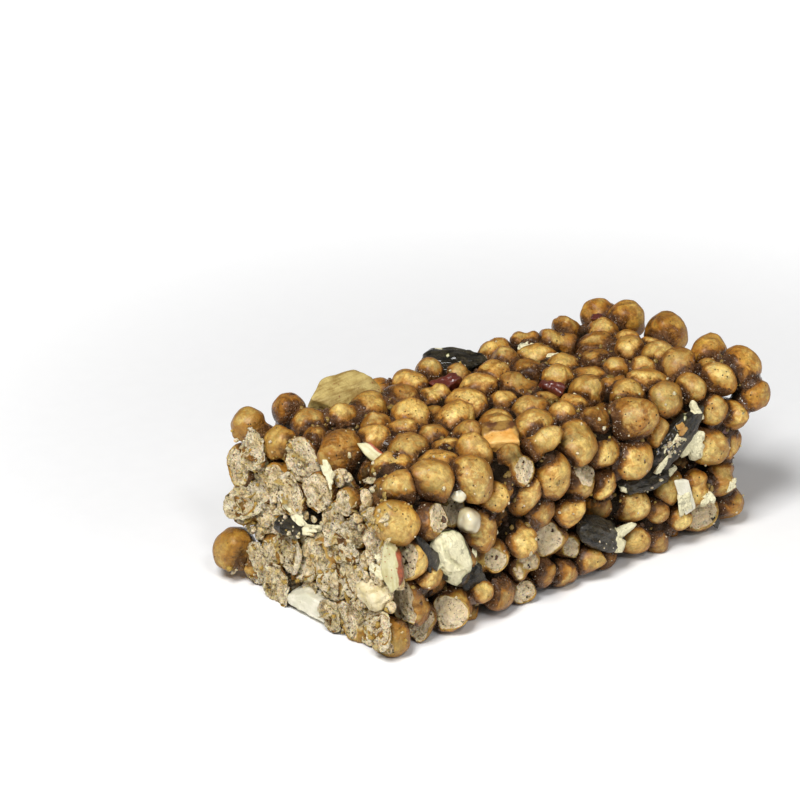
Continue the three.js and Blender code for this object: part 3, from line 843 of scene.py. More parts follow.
def crisp_material():
    """Honey-glazed puffed crisps: golden and toasted skin with painted light on its bulges, amber
    and then brown syrup with painted shade towards the neighbours and deeper in, and pale foam
    where one is broken open."""
    material, tree, shader, place = start_material("honey_glazed_crisp")
    tone, wet, foam = mark_of(tree, "tone"), mark_of(tree, "wet"), mark_of(tree, "foam")
    bare, deep = mark_of(tree, "bare"), mark_of(tree, "deep")
    mottle = use_group(tree, MOTTLE, {"Place": place})
    film = use_group(tree, FILM, {"Place": place})
    puff = use_group(tree, FOAM, {"Place": place})
    skin = baked_skin(tree, mottle, tone, bare)
    # Honey and amber where syrup gathers beside the neighbours, with painted crevice shade, and
    # less on the outside as painted light.
    uneven = plus(tree, wet, times(tree, mottle["Toasted"], 0.38))
    uneven = minus(tree, uneven, times(tree, bare, 0.40))
    skin = blend(tree, remap(tree, uneven, -0.25, 0.30, 0.0, 0.9), skin, HONEY)
    skin = blend(tree, remap(tree, uneven, 0.10, 0.75, 0.0, 0.85), skin, AMBER)
    # Painted shade: dark brown deeper in the bar.
    skin = blend(tree, times(tree, deep, 0.85), skin, PAINTED_SHADE_BROWN)
    shade = remap(tree, mottle["Speckle"], 0.34, 0.66, 0.70, 1.18)
    shade = times(tree, shade, remap(tree, tone, 0.0, 1.0, 1.08, 0.78))
    skin = blend(tree, 1.0, skin, shade, "MULTIPLY")
    skin = blend(tree, remap(tree, mottle["Blush"], 0.49, 0.63, 0.0, 0.55), skin, HONEY)
    along = add_node(tree, "ShaderNodeSeparateXYZ", {"Vector": place}).outputs["X"]
    ending = remap(tree, along, THIN_FROM * MM, THIN_TO * MM)
    thin = times(tree, times(tree, ending, 0.45), minus(tree, 1.0, deep))
    skin = blend(tree, thin, skin, THIN_SKIN)
    skin = blend(tree, mottle["Pinholes"], skin, PIN)
    # The syrup film covers the crisp where the syrup and the painted crevice shade gather.
    film_and_shade = plus(tree, uneven, times(tree, film["Thick"], 0.36))
    covered = remap(tree, film_and_shade, 0.40, 1.00)
    syrup = blend(tree, film["Thick"], SYRUP, SYRUP_DEEP)
    # Pale specks in the syrup film: sugar, and also painted glints.
    syrup = blend(tree, times(tree, film["Specks"], 0.6), syrup, SYRUP_SPECK_GLINT)
    skin = blend(tree, times(tree, covered, 0.8), skin, syrup)
    skin = blend(tree, remap(tree, foam, 0.0, 0.45), skin, RIM)
    colour = blend(tree, remap(tree, foam, 0.40, 0.85), skin, open_foam(tree, puff, ending, deep))
    dry = minus(tree, 1.0, foam)
    damp = plus(tree, film_and_shade, times(tree, mottle["Speckle"], 0.4))
    gloss = times(tree, remap(tree, damp, 0.0, 1.2, 0.58, 0.24), dry)
    wire(tree, shader, {
        "Base Color": colour,
        "Roughness": plus(tree, gloss, times(tree, foam, 0.92)),
        "Subsurface Weight": 0.25,
        "Subsurface Radius": (1.0, 0.55, 0.2),
        "Subsurface Scale": 0.9 * MM,
        "Coat Weight": times(tree, dry, remap(tree, deep, 0.0, 0.7, 0.22, 0.0)),
        "Coat Roughness": 0.32,
        "Specular IOR Level": 0.3,
        "Specular Tint": AMBER_SHEEN,
    })
    wrinkles = times(tree, times(tree, film["Height"], covered), 1.6)
    relieved = plus(tree, times(tree, mottle["Lumps"], 1.0), wrinkles)
    relieved = minus(tree, relieved, times(tree, mottle["Pinholes"], 0.5))
    pitted = times(tree, times(tree, puff["Height"], foam), 1.1)
    raise_bump(tree, shader, plus(tree, times(tree, relieved, dry), pitted), 0.50)
    return material


def syrup_material():
    """Set brown syrup between the crisps, near black deeper in as painted shade, with pale specks
    that are sugar and also painted glints.
    """
    material, tree, shader, place = start_material("set_syrup")
    deep = mark_of(tree, "deep")
    film = use_group(tree, FILM, {"Place": place})
    colour = blend(tree, film["Thick"], SYRUP, SYRUP_DEEP)
    # Pale specks: sugar, and also painted glints.
    colour = blend(tree, times(tree, film["Specks"], 0.8), colour, SYRUP_SPECK_GLINT)
    colour = blend(tree, mark_of(tree, "crumbed"), colour, RIM)
    wire(tree, shader, {
        # Painted shade: near black deeper inside the walls.
        "Base Color": blend(tree, deep, colour, PAINTED_SHADE_BLACK),
        "Roughness": remap(tree, film["Height"], 0.3, 0.7, 0.20, 0.50),
        "Coat Weight": remap(tree, deep, 0.0, 0.8, 0.60, 0.0),
        "Coat Roughness": 0.07,
        "Specular IOR Level": 0.3,
        "Specular Tint": AMBER_SHEEN,
    })
    height = plus(tree, film["Height"], times(tree, film["Specks"], 0.5))
    sparkle = noise(tree, place, 0.11, 2.0, 0.7)
    raise_bump(tree, shader, plus(tree, height, times(tree, sparkle, 0.5)), 0.75)
    return material


# ---------------------------------------------------------------- the crisps
SHOWN_DEPTH = 1.7       # crisps whose outside lies this near a wall are made in full
SECOND_DEPTH = 5.0      # those a layer deeper have coarser balls
END_FACING = -0.75      # mouths that face more to -X than this belong to the broken end


def skin_depth(ball):
    """How far a crisp's skin lies inside the nearest wall or the broken face, in mm."""
    x, y, z = ball.at
    walls = BAR_LENGTH / 2 - x, x - break_at(y, z), BAR_WIDTH / 2 - abs(y), z, BAR_HEIGHT - z
    return min(walls) - ball.radius


def inner_depth(points):
    """How far points lie inside the nearest wall or the broken face, in mm."""
    x, y, z = points.T
    ends = [BAR_LENGTH / 2 - x, x - break_at(y, z)]
    sides = [BAR_WIDTH / 2 - np.abs(y), BAR_HEIGHT - z, z + UNDERSIDE_SHADE]
    return np.min(ends + sides, axis=0)


def make_crisps(name, balls, steps, material):
    """One piece of many crisps."""
    heap = Heap(steps)
    for ball in balls:
        points, foam = gaping_face(crisp_form(ball, heap.rays), ball)
        tone = np.random.default_rng(CRISP_SEED * 3 + ball.number).random()
        glaze = 0.30 * ease(tone, 0.80, 0.86)
        # Painted light on the crisp's outside, painted shade beside its neighbours (with their
        # syrup) and deeper in the bar.
        heap.add(points, tone=tone, wet=syrup_and_shade_share(points, ball) + glaze, foam=foam,
                 bare=lit_outside_share(points, ball), deep=ease(inner_depth(points), 0.5, 2.8))
    return heap.finish(name, material)


# ---------------------------------------------------------------- the syrup between them
SYRUP_SINK = 0.38       # how far under a crisp's skin the syrup body lies
SYRUP_RECESS = 0.45     # how far it lies behind a broken face
SYRUP_VOXEL = 0.43
BRIDGE_SEED = 771
NECK_SPARE = 0.74       # how far the syrup spreads round the place where two crisps touch
HOLE_SHARE = 0.42       # how many of the holes between three crisps it fills
HEART_DEPTH = 3.6       # how far under the walls the syrup's plain heart lies
BROKEN_CLEAR = 0.35     # how far a fillet of syrup stays behind a broken face


def syrup_bridges(balls):
    """Small balls where two or three crisps meet, which become the syrup's fillets."""
    rng = np.random.default_rng(BRIDGE_SEED)
    middles = np.array([ball.at for ball in balls])
    sizes = np.array([ball.radius for ball in balls])
    apart = np.sqrt(((middles[:, None] - middles[None]) ** 2).sum(-1))
    touch = apart < sizes[:, None] + sizes[None] + 0.2
    bridges = []
    for i in range(len(balls)):
        partners = [j for j in np.flatnonzero(touch[i]) if j > i]
        for j in partners:
            reach = (apart[i, j] ** 2 + sizes[i] ** 2 - sizes[j] ** 2) / (2 * apart[i, j])
            crease = math.sqrt(max(sizes[i] ** 2 - reach ** 2, 0))
            at = middles[i] + (middles[j] - middles[i]) * reach / apart[i, j]
            bridges.append((at, max(crease + NECK_SPARE, 0.8)))
            for k in partners:
                if k > j and touch[j, k] and rng.random() < HOLE_SHARE:
                    at = (middles[i] + middles[j] + middles[k]) / 3
                    gap = np.linalg.norm(middles[i] - at) - sizes[i]
                    bridges.append((at, max(gap + 0.3, 0.7)))
    gaping = [ball for ball in balls if ball.open_way is not None]
    return [(at, radius) for at, radius in bridges if lies_behind(at, radius, gaping)]


def lies_behind(at, radius, gaping):
    """True if a drop of syrup stays behind every broken face near it."""
    for ball in gaping:
        out = (at - ball.at) @ ball.open_way - ball.open_at
        if out + radius > -BROKEN_CLEAR and np.linalg.norm(at - ball.at) < ball.radius + radius:
            return False
    return True


def remeshed(rough, name, voxel, smoothing):
    """One closed skin round all the parts of a mesh in mm, softened."""
    holder = bpy.data.objects.new(rough.name, rough)
    bpy.context.scene.collection.objects.link(holder)
    remesh = holder.modifiers.new("one_skin", "REMESH")
    remesh.mode = "VOXEL"
    remesh.voxel_size = voxel
    soften = holder.modifiers.new("soften", "SMOOTH")
    soften.factor = 0.5
    soften.iterations = smoothing
    seen = holder.evaluated_get(bpy.context.evaluated_depsgraph_get())
    mesh = bpy.data.meshes.new_from_object(seen)
    mesh.name = name
    bpy.data.objects.remove(holder)
    bpy.data.meshes.remove(rough)
    return mesh


def make_syrup(balls, material):
    """The body of syrup that the crisps sit in, with fillets in every crevice."""
    rays, faces = ball_mesh(3)
    forms = []
    for ball in balls:
        points = crisp_form(ball, rays, shrink=SYRUP_SINK, plain=True)
        forms.append(gaping_face(points, ball, recess=SYRUP_RECESS, plain=True)[0])
    bridges = syrup_bridges(balls)
    drop_rays, drop_faces = ball_mesh(2)
    drops = [at + drop_rays * radius for at, radius in bridges]
    room = np.array([BAR_LENGTH - BREAK_LEAN, BAR_WIDTH, BAR_HEIGHT]) / 2 - HEART_DEPTH
    heart = np.clip(rays * 1.7, -1, 1) * room + (BREAK_LEAN / 2, 0, BAR_HEIGHT / 2)
    points = np.concatenate([*forms, heart, *drops])
    body_faces = repeat_faces(faces, len(rays), len(forms) + 1)
    drops_start = len(rays) * (len(forms) + 1)
    drops_faces = drops_start + repeat_faces(drop_faces, len(drop_rays), len(drops))
    rough = write_mesh("syrup_parts", points, np.concatenate([body_faces, drops_faces]))
    mesh = remeshed(rough, "syrup", SYRUP_VOXEL, 3)
    points, normals = corners_of(mesh)
    ripple = 0.14 * relief(points, 1.1, 81) + 0.18 * relief(points, 0.5, 82)
    crumbed = 0.8 * ease(-points[:, 0], *END_CRUMBS)
    # Painted shade: the syrup darkens the deeper it lies inside the walls.
    write_marks(mesh, {"deep": ease(inner_depth(points), 0.4, 2.0), "crumbed": crumbed})
    move_corners(mesh, points + normals * ripple[:, None])
    return finish_piece("syrup", mesh, material)


def corners_of(mesh):
    """A mesh's corners and the ways they face, as numbers."""
    count = len(mesh.vertices)
    points = np.empty(count * 3, np.float32)
    normals = np.empty(count * 3, np.float32)
    mesh.vertices.foreach_get("co", points)
    mesh.vertices.foreach_get("normal", normals)
    return points.reshape(-1, 3).astype(float), normals.reshape(-1, 3).astype(float)


def move_corners(mesh, points):
    """Puts a mesh's corners, given in mm, in their places in the bar."""
    mesh.vertices.foreach_set("co", (inside_box(points) * MM).astype(np.float32).ravel())
    mesh.update()


# ---------------------------------------------------------------- the torn end
BACKING_GROWTH = 0.72   # how far the torn foam spreads past each broken crisp
BACKING_THINNING = 0.80     # how much less it spreads in the upper half
BACKING_TUCK = 0.12     # how far it stays inside the crisps next to a wall
BACKING_RECESS = 0.20   # how far it lies behind their broken faces
BACKING_VOXEL = 0.24


def make_torn_foam(balls, material):
    """The crumbled foam behind and between the faces of the broken crisps."""
    rays, faces = ball_mesh(3)
    forms = []
    for ball in balls:
        _, y, z = ball.at
        room = min(BAR_WIDTH / 2 - abs(y), z, BAR_HEIGHT - z) - ball.radius
        spread = BACKING_GROWTH + BACKING_TUCK - BACKING_THINNING * ease(z, 8.5, 13.0)
        growth = spread * ease(room, 0.3, 2.0) - BACKING_TUCK
        grown = replace(ball, radius=ball.radius + growth)
        points = crisp_form(grown, rays, plain=True)
        forms.append(gaping_face(points, ball, recess=BACKING_RECESS, plain=True)[0])
    all_faces = repeat_faces(faces, len(rays), len(forms))
    rough = write_mesh("torn_parts", np.concatenate(forms), all_faces)
    mesh = remeshed(rough, "torn_foam", BACKING_VOXEL, 2)
    points, normals = corners_of(mesh)
    middles = np.array([ball.at for ball in balls])
    sizes = np.array([ball.radius for ball in balls])
    gaps = np.sqrt(((points[:, None] - middles[None]) ** 2).sum(-1)) - sizes
    gaps.sort(axis=1)
    seam = 1 - ease(gaps[:, 1] - gaps[:, 0], 0.10, 0.62)
    depth = points[:, 0] - break_at(points[:, 1], points[:, 2])
    torn = ease(-normals[:, 0], -0.05, 0.35)
    foam = torn * (1 - 0.95 * seam) * (1 - ease(depth, 2.4, 3.8))
    cracked = torn * foam_relief(points) - 0.70 * seam + 0.16 * seam * relief(points, 0.6, 83)
    points += normals * cracked[:, None]
    move_corners(mesh, points)
    # Painted shade: more amber the deeper behind the broken face, and darker in the seams and deep
    # in.
    wet = 0.15 + 0.6 * ease(depth, 1.2, 3.4)
    write_marks(mesh, {"tone": 0.5 + 0.5 * relief(points, 2.0, 84), "wet": wet * (1 - foam),
                       "foam": foam, "bare": np.full(len(points), 0.35),
                       "deep": np.maximum(ease(depth, 1.0, 3.0), 0.75 * seam ** 2)})
    return finish_piece("torn_foam", mesh, material)


INWARD = (1, 0, 0)      # the way one looks at the broken end
BACKWARD = (0, 1, 0)    # the way one looks at the front
FAR = 40.0              # how far outside the bar's middle a line of sight starts


@dataclass
class Hit:
    """Where a line meets the bar: how far along, the place in mm, and the way it faces."""
    distance: float
    at: np.ndarray
    facing: np.ndarray


def outside(place, way):
    """Where a line along one axis starts that looks at a place from outside the bar."""
    return np.where(np.array(way) == 0, place, -FAR * np.array(way))


def first_hit(pieces, start, way):
    """Where a line from a place in the bar, in mm, first meets one of the pieces."""
    nearest = None
    origin = Vector((np.asarray(start) + BAR_SHIFT) * MM)
    for piece in pieces:
        met, at, normal, _ = piece.ray_cast(origin, Vector(way))
        if met and (nearest is None or (at - origin).length < nearest.distance):
            nearest = Hit((at - origin).length, np.array(at) / MM - BAR_SHIFT, np.array(normal))
    return nearest


RUBBLE_SEED = 4100
RUBBLE_TRIES = 1500
RUBBLE_DEPTH = 0.90     # a gap in the broken end deeper than this can hold a lump


def make_rubble(ground, material):
    """Broken foam lodged between the gaping crisps, flush with them, less in the upper half."""
    rng = np.random.default_rng(RUBBLE_SEED)
    heap = Heap(3)
    rays = heap.rays
    lodged = []
    for _ in range(RUBBLE_TRIES):
        y, z = rng.uniform(-14.6, 14.6), rng.uniform(0.7, 20.6)
        radius = rng.uniform(0.4, 1.15)
        kept = relief(np.array([[0.0, y, z]]), 2.2, RUBBLE_SEED)[0]
        if kept < -0.8 + 0.9 * ease(z, 9.0, 15.0):
            continue
        hit = first_hit(ground, outside((0, y, z), INWARD), INWARD)
        if hit is None or hit.at[0] - break_at(y, z) < RUBBLE_DEPTH:
            continue
        front = break_at(y, z) + rng.uniform(0.1, 0.8)
        middle = np.array([min(front, hit.at[0] - 0.2) + 0.6 * radius, y, z])
        if any(np.linalg.norm(middle - other) < 0.72 * (radius + size) for other, size in lodged):
            continue
        lodged.append((middle, radius))
        shape = rays * radius * (0.8, rng.uniform(0.85, 1.2), rng.uniform(0.85, 1.2))
        shape *= 1 + 0.32 * relief(rays + rng.uniform(0, 30, 3), 0.9, 88)[:, None]
        lean = rng.uniform(-0.2, 0.2, 2)
        way = unit(np.array([-1.0, lean[0], lean[1]]))
        out = shape @ way - 0.5 * radius + 0.12 * relief(shape + middle, 0.6, 89)
        torn = ease(out, 0.0, 0.15)
        points = shape - way * np.maximum(out, 0)[:, None] + middle
        points += way * (torn * foam_relief(points))[:, None]
        # Painted shade: rubble darker the deeper it lies.
        heap.add(points, tone=rng.random(), wet=0.30, foam=0.70 + 0.30 * ease(out, -0.10, 0.25),
                 bare=0.5, deep=ease(inner_depth(points), 1.2, 3.4))
    return heap.finish("foam_rubble", material)


CRUMB_SEED = 4200
# Where crumbs lie: how many, the way they are seen from, and their least and most radius.
CRUMB_SIDES = [
    (420, (1, 0, 0), (0.12, 0.38)),
    (150, (0, 1, 0), (0.08, 0.24)),
    (130, (0, 0, -1), (0.08, 0.20)),
    (90, (0, -1, 0), (0.08, 0.22)),
    (60, (-1, 0, 0), (0.08, 0.22)),
]
# Grains of sugar on the seeds: how many, the seed, their middle in x and z, their spread.
SUGARED = [
    (26, "pumpkin_seed_upper", (15.4, 15.3), 0.55),
    (22, "pumpkin_seed_upper", (16.9, 16.5), 0.50),
    (10, "pumpkin_seed_middle", (13.5, 11.3), 1.80),
    (12, "pumpkin_seed_lower", (4.0, 6.2), 1.60),
]


def crumb_shape(rng, rays, radius, least, most):
    """A small uneven body round the origin, whose corners stand out by differing shares."""
    return rays * rng.uniform(least, most, (len(rays), 1)) * rng.uniform(0.6, 1.4, 3) * radius


def place_in_bar(rng, margin):
    """A place anywhere in the bar, the margin inside its walls."""
    half = np.array([BAR_LENGTH, BAR_WIDTH, BAR_HEIGHT]) / 2 - margin
    return rng.uniform(-half, half) + (0, 0, BAR_HEIGHT / 2)


def add_sugar(heap, rng, ground):
    """Strews grains of sugar on the seeds, wherever nothing lies over them."""
    for count, name, middle, spread in SUGARED:
        seed = bpy.data.objects[name + "_dressed"]
        for _ in range(count):
            x, z = rng.normal(middle, spread)
            start = outside((x, 0, z), BACKWARD)
            hit = first_hit([seed], start, BACKWARD)
            over = first_hit(ground, start, BACKWARD)
            if hit is None or (over is not None and over.at[1] < hit.at[1]):
                continue
            radius = 0.08 + 0.22 * rng.random() ** 2
            shape = crumb_shape(rng, heap.rays, radius, 0.55, 1.35)
            heap.add(hit.at + hit.facing * 0.2 * radius + shape,
                     tone=0.0, wet=0.0, foam=1.0, bare=1.0, deep=0.0)


def make_crumbs(ground, material):
    """Crumbs of foam and skin stuck to the bar, most of them on the torn end."""
    rng = np.random.default_rng(CRUMB_SEED)
    heap = Heap(2)
    add_sugar(heap, rng, ground)
    for count, way, (least, most) in CRUMB_SIDES:
        for _ in range(count):
            hit = first_hit(ground, outside(place_in_bar(rng, 0.8), way), way)
            if hit is None:
                continue
            radius = least + (most - least) * rng.random() ** 2
            shape = crumb_shape(rng, heap.rays, radius, 0.65, 1.25)
            pale = rng.random() < 0.7
            heap.add(hit.at + hit.facing * 0.35 * radius + shape,
                     tone=rng.random(), wet=0.2, foam=1.0 if pale else 0.42, bare=0.7, deep=0.0)
    return heap.finish("crumbs", material)


GRIT_SEED = 4500
# Where grit lies: how many tries, the way they are seen from.
GRIT_SIDES = [(2200, (0, 0, -1)), (1400, (0, 1, 0)), (900, (0, -1, 0)), (600, (-1, 0, 0))]


def make_grit(syrup, others, material):
    """Small rough drops and grains set in the syrup between the crisps."""
    rng = np.random.default_rng(GRIT_SEED)
    heap = Heap(2)
    for count, way in GRIT_SIDES:
        for _ in range(count):
            start = outside(place_in_bar(rng, 1.0), way)
            slant = unit(np.array(way) + rng.uniform(-0.35, 0.35, 3))
            hit = first_hit([syrup], start, slant)
            over = first_hit(others, start, slant)
            if hit is None or (over is not None and np.dot(hit.at - over.at, slant) > 0.3):
                continue
            radius = rng.uniform(0.14, 0.42)
            swell = 1 + 0.45 * relief(heap.rays + rng.uniform(0, 30, 3), 0.8, 87)[:, None]
            points = hit.at + heap.rays * swell * rng.uniform(0.7, 1.4, 3) * radius
            # Painted shade: grit darker the deeper it lies, by a random share.
            heap.add(points, deep=ease(inner_depth(points), 0.5, 2.8) * rng.uniform(0.45, 1.0),
                     crumbed=0.8 if rng.random() < 0.3 else 0.0)
    return heap.finish("syrup_grit", material)


FLAKE_SEED = 4300
FLAKE_COUNT = 110
FLAKE_THICKNESS = 0.05


def make_flakes(ground, material):
    """Thin curled flakes of crisp skin that stand on the torn end."""
    rng = np.random.default_rng(FLAKE_SEED)
    heap = Heap(3)
    for _ in range(FLAKE_COUNT):
        y, z = rng.uniform(-15.2, 15.2), rng.uniform(0.6, 21.0)
        hit = first_hit(ground, outside((0, y, z), INWARD), INWARD)
        if hit is None:
            continue
        shape = heap.rays * (rng.uniform(0.4, 0.9), rng.uniform(0.25, 0.5), FLAKE_THICKNESS)
        shape[:, 2] += rng.uniform(0.15, 0.5) * (shape[:, 0] ** 2 + shape[:, 1] ** 2)
        shape *= 1 + 0.7 * relief(heap.rays + rng.uniform(0, 30, 3), 0.45, 86)[:, None]
        turn = np.linalg.qr(rng.normal(size=(3, 3)))[0]
        heap.add(shape @ turn.T + hit.at + hit.facing * 0.25, tone=rng.random(),
                 wet=rng.uniform(0, 0.3), foam=rng.uniform(0.46, 0.80), bare=0.8, deep=0.0)
    return heap.finish("skin_flakes", material)


# ---------------------------------------------------------------- seeds, nuts and fruit
def flat_sided(rays, ways, levels, soft=0.12):
    """The body inside flat sides: each side has a way and a distance, its edges rounded."""
    ways = unit(np.array(ways, float))
    along = np.maximum(rays @ ways.T, 1e-3) / np.array(levels)
    sharp = 1 / soft
    return rays / ((along ** sharp).sum(1) ** soft)[:, None]


def leaning_cube(rng, lean):
    """The ways of a cube's six sides, each leaning a little its own way."""
    return np.concatenate([np.eye(3), -np.eye(3)]) + rng.uniform(-lean, lean, (6, 3))


def chunk_sides(seed, count, lean=0.25):
    """Ways and distances of uneven flat sides all round a chunk."""
    rng = np.random.default_rng(seed)
    square = leaning_cube(rng, lean)
    extra = rng.normal(size=(count - 6, 3))
    levels = np.concatenate([rng.uniform(0.86, 1.0, 6), rng.uniform(0.9, 1.12, count - 6)])
    return np.concatenate([square, extra]), levels


def seed_body(rays, size):
    """A flat pointed oval, fuller at one end, with a narrow rim round its edge."""
    taper = 1 - 0.25 * rays[:, 0] * np.abs(rays[:, 0]) - 0.1 * rays[:, 0]
    rim = np.exp(-(rays[:, 2] / 0.16) ** 2)
    points = rays.copy()
    points[:, 1] *= taper * (1 + 0.04 * rim)
    points[:, 2] *= taper * (1 - 0.25 * rim)
    return points * np.array(size) / 2


def whole_seed(piece, rays):
    """A dark seed whose thin skin is creased along its length, with a fine raised rim."""
    points = seed_body(rays, piece.size)
    seed = len(piece.name)
    stretched = points * (0.30, 1.0, 1.0)
    creases = 0.22 * relief(stretched, 0.9, seed) + 0.14 * relief(stretched, 0.42, seed + 1)
    creases += 0.14 * relief(points, 0.8, seed + 3)
    across = points[:, 1] / piece.size[1] * 2
    creases += 0.12 * np.exp(-((np.abs(across) - 0.80) / 0.07) ** 2)
    points += rays * creases[:, None]
    tips = (np.abs(points[:, 0]) / piece.size[0] * 2) ** 6
    torn = relief(points, 1.6, seed + 2) + 0.8 * tips
    skin = 1 - ease(torn, 0.70, 0.78)
    points -= rays * (0.10 * (1 - skin))[:, None]
    return points, skin


def broken_seed(piece, rays):
    """A seed with its skin torn off the broad side, down to the two pale seed leaves: a
    long fold, a step where the upper leaf has snapped, and skin left at the lower tip."""
    points = seed_body(rays, piece.size)
    long, wide, _ = np.array(piece.size) / 2
    u, v = points[:, 0] / long, points[:, 1] / wide
    ragged = 0.07 * relief(points, 0.9, 31) + 0.05 * relief(points, 0.35, 32)
    tip = u - 0.60 + 0.42 * v
    left = -v - 0.80
    right = v - 0.88 + 0.20 * u
    behind = 0.06 - rays[:, 2]
    notch = 0.32 - np.hypot((u - 0.30) * 1.5, v + 0.95)
    covered = np.max([tip, left, right, behind, notch], axis=0) + ragged
    skin = ease(covered, -0.02, 0.05)
    winding = v - 0.10 - 0.30 * u - 0.16 * np.sin(4 * u)
    fold = np.exp(-(winding / 0.13) ** 2) * (1 - ease(u, 0.0, 0.15))
    brink = u - 0.16 - 0.30 * v + 2 * ragged
    snapped = ease(brink, -0.03, 0.04)
    leaf = 0.22 * relief(points * (0.5, 1, 1), 1.5, 33)
    leaf += 0.14 * relief(points * (0.6, 1, 1), 0.6, 34)
    raised = 0.38 + leaf - 0.42 * fold - 0.42 * snapped
    front = np.clip(rays[:, 2] * 2.2, 0, 1)
    wrinkled = 0.08 * relief(points * (0.4, 1, 1), 0.5, 35)
    points[:, 2] += front * ((1 - skin) * raised + skin * (wrinkled - 0.15))
    crease = np.maximum(fold, np.exp(-(brink / 0.05) ** 2))
    rim = ease(covered, -0.20, -0.02)
    return points, np.maximum(skin, 0.16 * np.maximum(0.8 * crease, rim))


def flat_slice(rays, size, ways, seed):
    """A thin cut slice with straight sides, given by the ways its edges face."""
    sides = np.concatenate([[(0, 0, 1), (0, 0, -1)], np.array(ways, float)])
    points = flat_sided(rays, sides, np.ones(len(sides)), 0.07) * np.array(size) / 2
    lines = 0.05 * relief(points * (0.15, 1.6, 0.3), 0.5, seed + 1)
    uneven = lines + 0.09 * relief(points, 1.5, seed + 2)
    return points + rays * uneven[:, None]


def nut_slice(piece, rays):
    """A slice of almond that tapers to one end, cut straight at the other."""
    ways = [(0.15, 1, 0), (0, -1, 0), (1, 0.3, 0), (-0.8, 0.75, 0), (-0.8, -0.55, 0)]
    points = flat_slice(rays, piece.size, ways, len(piece.name))
    ridge = 0.25 - 0.20 * points[:, 0] / piece.size[0]
    points[:, 2] -= 0.55 * np.maximum(-points[:, 1] - ridge, 0) * (points[:, 2] > 0)
    return points, np.zeros(len(rays))


def nut_sliver(piece, rays):
    """A pointed sliver of almond with its red-brown skin along one edge."""
    ways = [(0.1, 1, 0), (0.1, -1, 0), (-1, 0.5, 0), (-0.6, -0.9, 0), (0.8, -0.8, 0), (1, 0.4, 0)]
    points = flat_slice(rays, piece.size, ways, len(piece.name) + 5)
    across = points[:, 1] / piece.size[1] * 2 + 0.12 * relief(points, 0.8, 36)
    return points, ease(across, 0.56, 0.64)


def nut_chunk(piece, rays, sides=13, rough=0.07, soft=0.09):
    """A chopped piece with flat broken sides."""
    ways, levels = chunk_sides(len(piece.name) * 7 + sides, sides)
    points = flat_sided(rays, ways, levels, soft) * np.array(piece.size) / 2
    uneven = rough * relief(points, 0.55, 61) + 0.5 * rough * relief(points, 0.25, 62)
    points += rays * uneven[:, None]
    return points, np.zeros(len(rays))


def glazed_nut(piece, rays):
    """A chopped nut, its back half drowned in amber syrup."""
    points, _ = nut_chunk(piece, rays, 12, 0.12)
    across = points[:, 1] / piece.size[1] * 2 + 0.10 * relief(points, 0.9, 37)
    glaze = ease(across, 0.02, 0.10)
    return points + rays * (0.18 * glaze)[:, None], glaze


def candied_cube(piece, rays):
    """A small soft cube with well rounded edges."""
    ways = leaning_cube(np.random.default_rng(9), 0.2)
    points = flat_sided(rays, ways, np.full(6, 0.93), 0.34) * np.array(piece.size) / 2
    points += rays * (0.10 * relief(points, 1.0, 64))[:, None]
    under = (points[:, 0] + points[:, 1]) / piece.size[0] + 0.15 * relief(points, 1.0, 38)
    return points, 0.8 * ease(under, 0.62, 0.80)


def fruit_chunk(piece, rays):
    """A shrivelled scrap of dried fruit."""
    ways, levels = chunk_sides(len(piece.name) * 3, 10, 0.4)
    points = flat_sided(rays, ways, levels, 0.2) * np.array(piece.size) / 2
    points += rays * (0.22 * relief(points, 0.8, 65) + 0.10 * relief(points, 0.35, 66))[:, None]
    return points, np.zeros(len(rays))


PIECE_FORMS = {
    "seed": whole_seed,
    "broken_seed": broken_seed,
    "sliver": lambda piece, rays: nut_chunk(piece, rays, 9, 0.04, 0.05),
    "slice": nut_slice,
    "red_sliver": nut_sliver,
    "nut": glazed_nut,
    "pale_nut": lambda piece, rays: nut_chunk(piece, rays, 17, 0.20),
    "white_slab": lambda piece, rays: nut_chunk(piece, rays, 11, 0.08, 0.04),
    "candied": candied_cube,
    "fruit": fruit_chunk,
}


def seed_material():
    """Dark satin seed skin with smears of syrup, over the pale kernel."""
    material, tree, shader, place = start_material("pumpkin_seed")
    skin, lay = mark_of(tree, "skin"), mark_of(tree, "lay", "Vector")
    wrinkle = noise(tree, drawn_out(tree, lay, (0.25, 1, 1)), 0.30, 4.0, 0.65, 0.8)
    patches = noise(tree, place, 1.1, 3.0, 0.6)
    dark = blend(tree, remap(tree, wrinkle, 0.35, 0.65), paint(16, 13, 8), paint(70, 62, 42))
    smear = remap(tree, noise(tree, place, 0.5, 4.0, 0.75, 0.4), 0.58, 0.68, 0.0, 0.6)
    dark = blend(tree, smear, dark, blend(tree, wrinkle, paint(62, 44, 34), paint(176, 152, 138)))
    kernel = blend(tree, patches, paint(250, 243, 208), paint(240, 230, 182))
    worn = remap(tree, noise(tree, place, 0.35, 3.0, 0.7), 0.55, 0.75, 0.0, 0.35)
    kernel = blend(tree, worn, kernel, paint(206, 196, 142))
    kernel = blend(tree, remap(tree, skin, 0.02, 0.35), kernel, paint(128, 132, 72))
    satin = times(tree, remap(tree, wrinkle, 0.3, 0.7, 0.28, 0.5), skin)
    dull = times(tree, minus(tree, 1.0, skin), 0.6)
    wire(tree, shader, {
        "Base Color": blend(tree, remap(tree, skin, 0.35, 0.7), kernel, dark),
        "Roughness": plus(tree, satin, dull),
        "Coat Weight": remap(tree, skin, 0.0, 1.0, 0.12, 0.50),
        "Coat Roughness": 0.12,
        "Specular IOR Level": 0.3,
    })
    crusty = plus(tree, wrinkle, noise(tree, place, 0.34, 3.0, 0.7, 0.6))
    crusty = times(tree, crusty, remap(tree, skin, 0.0, 1.0, 0.45, 1.0))
    raise_bump(tree, shader, plus(tree, crusty, times(tree, smear, 0.5)), 1.20)
    return material


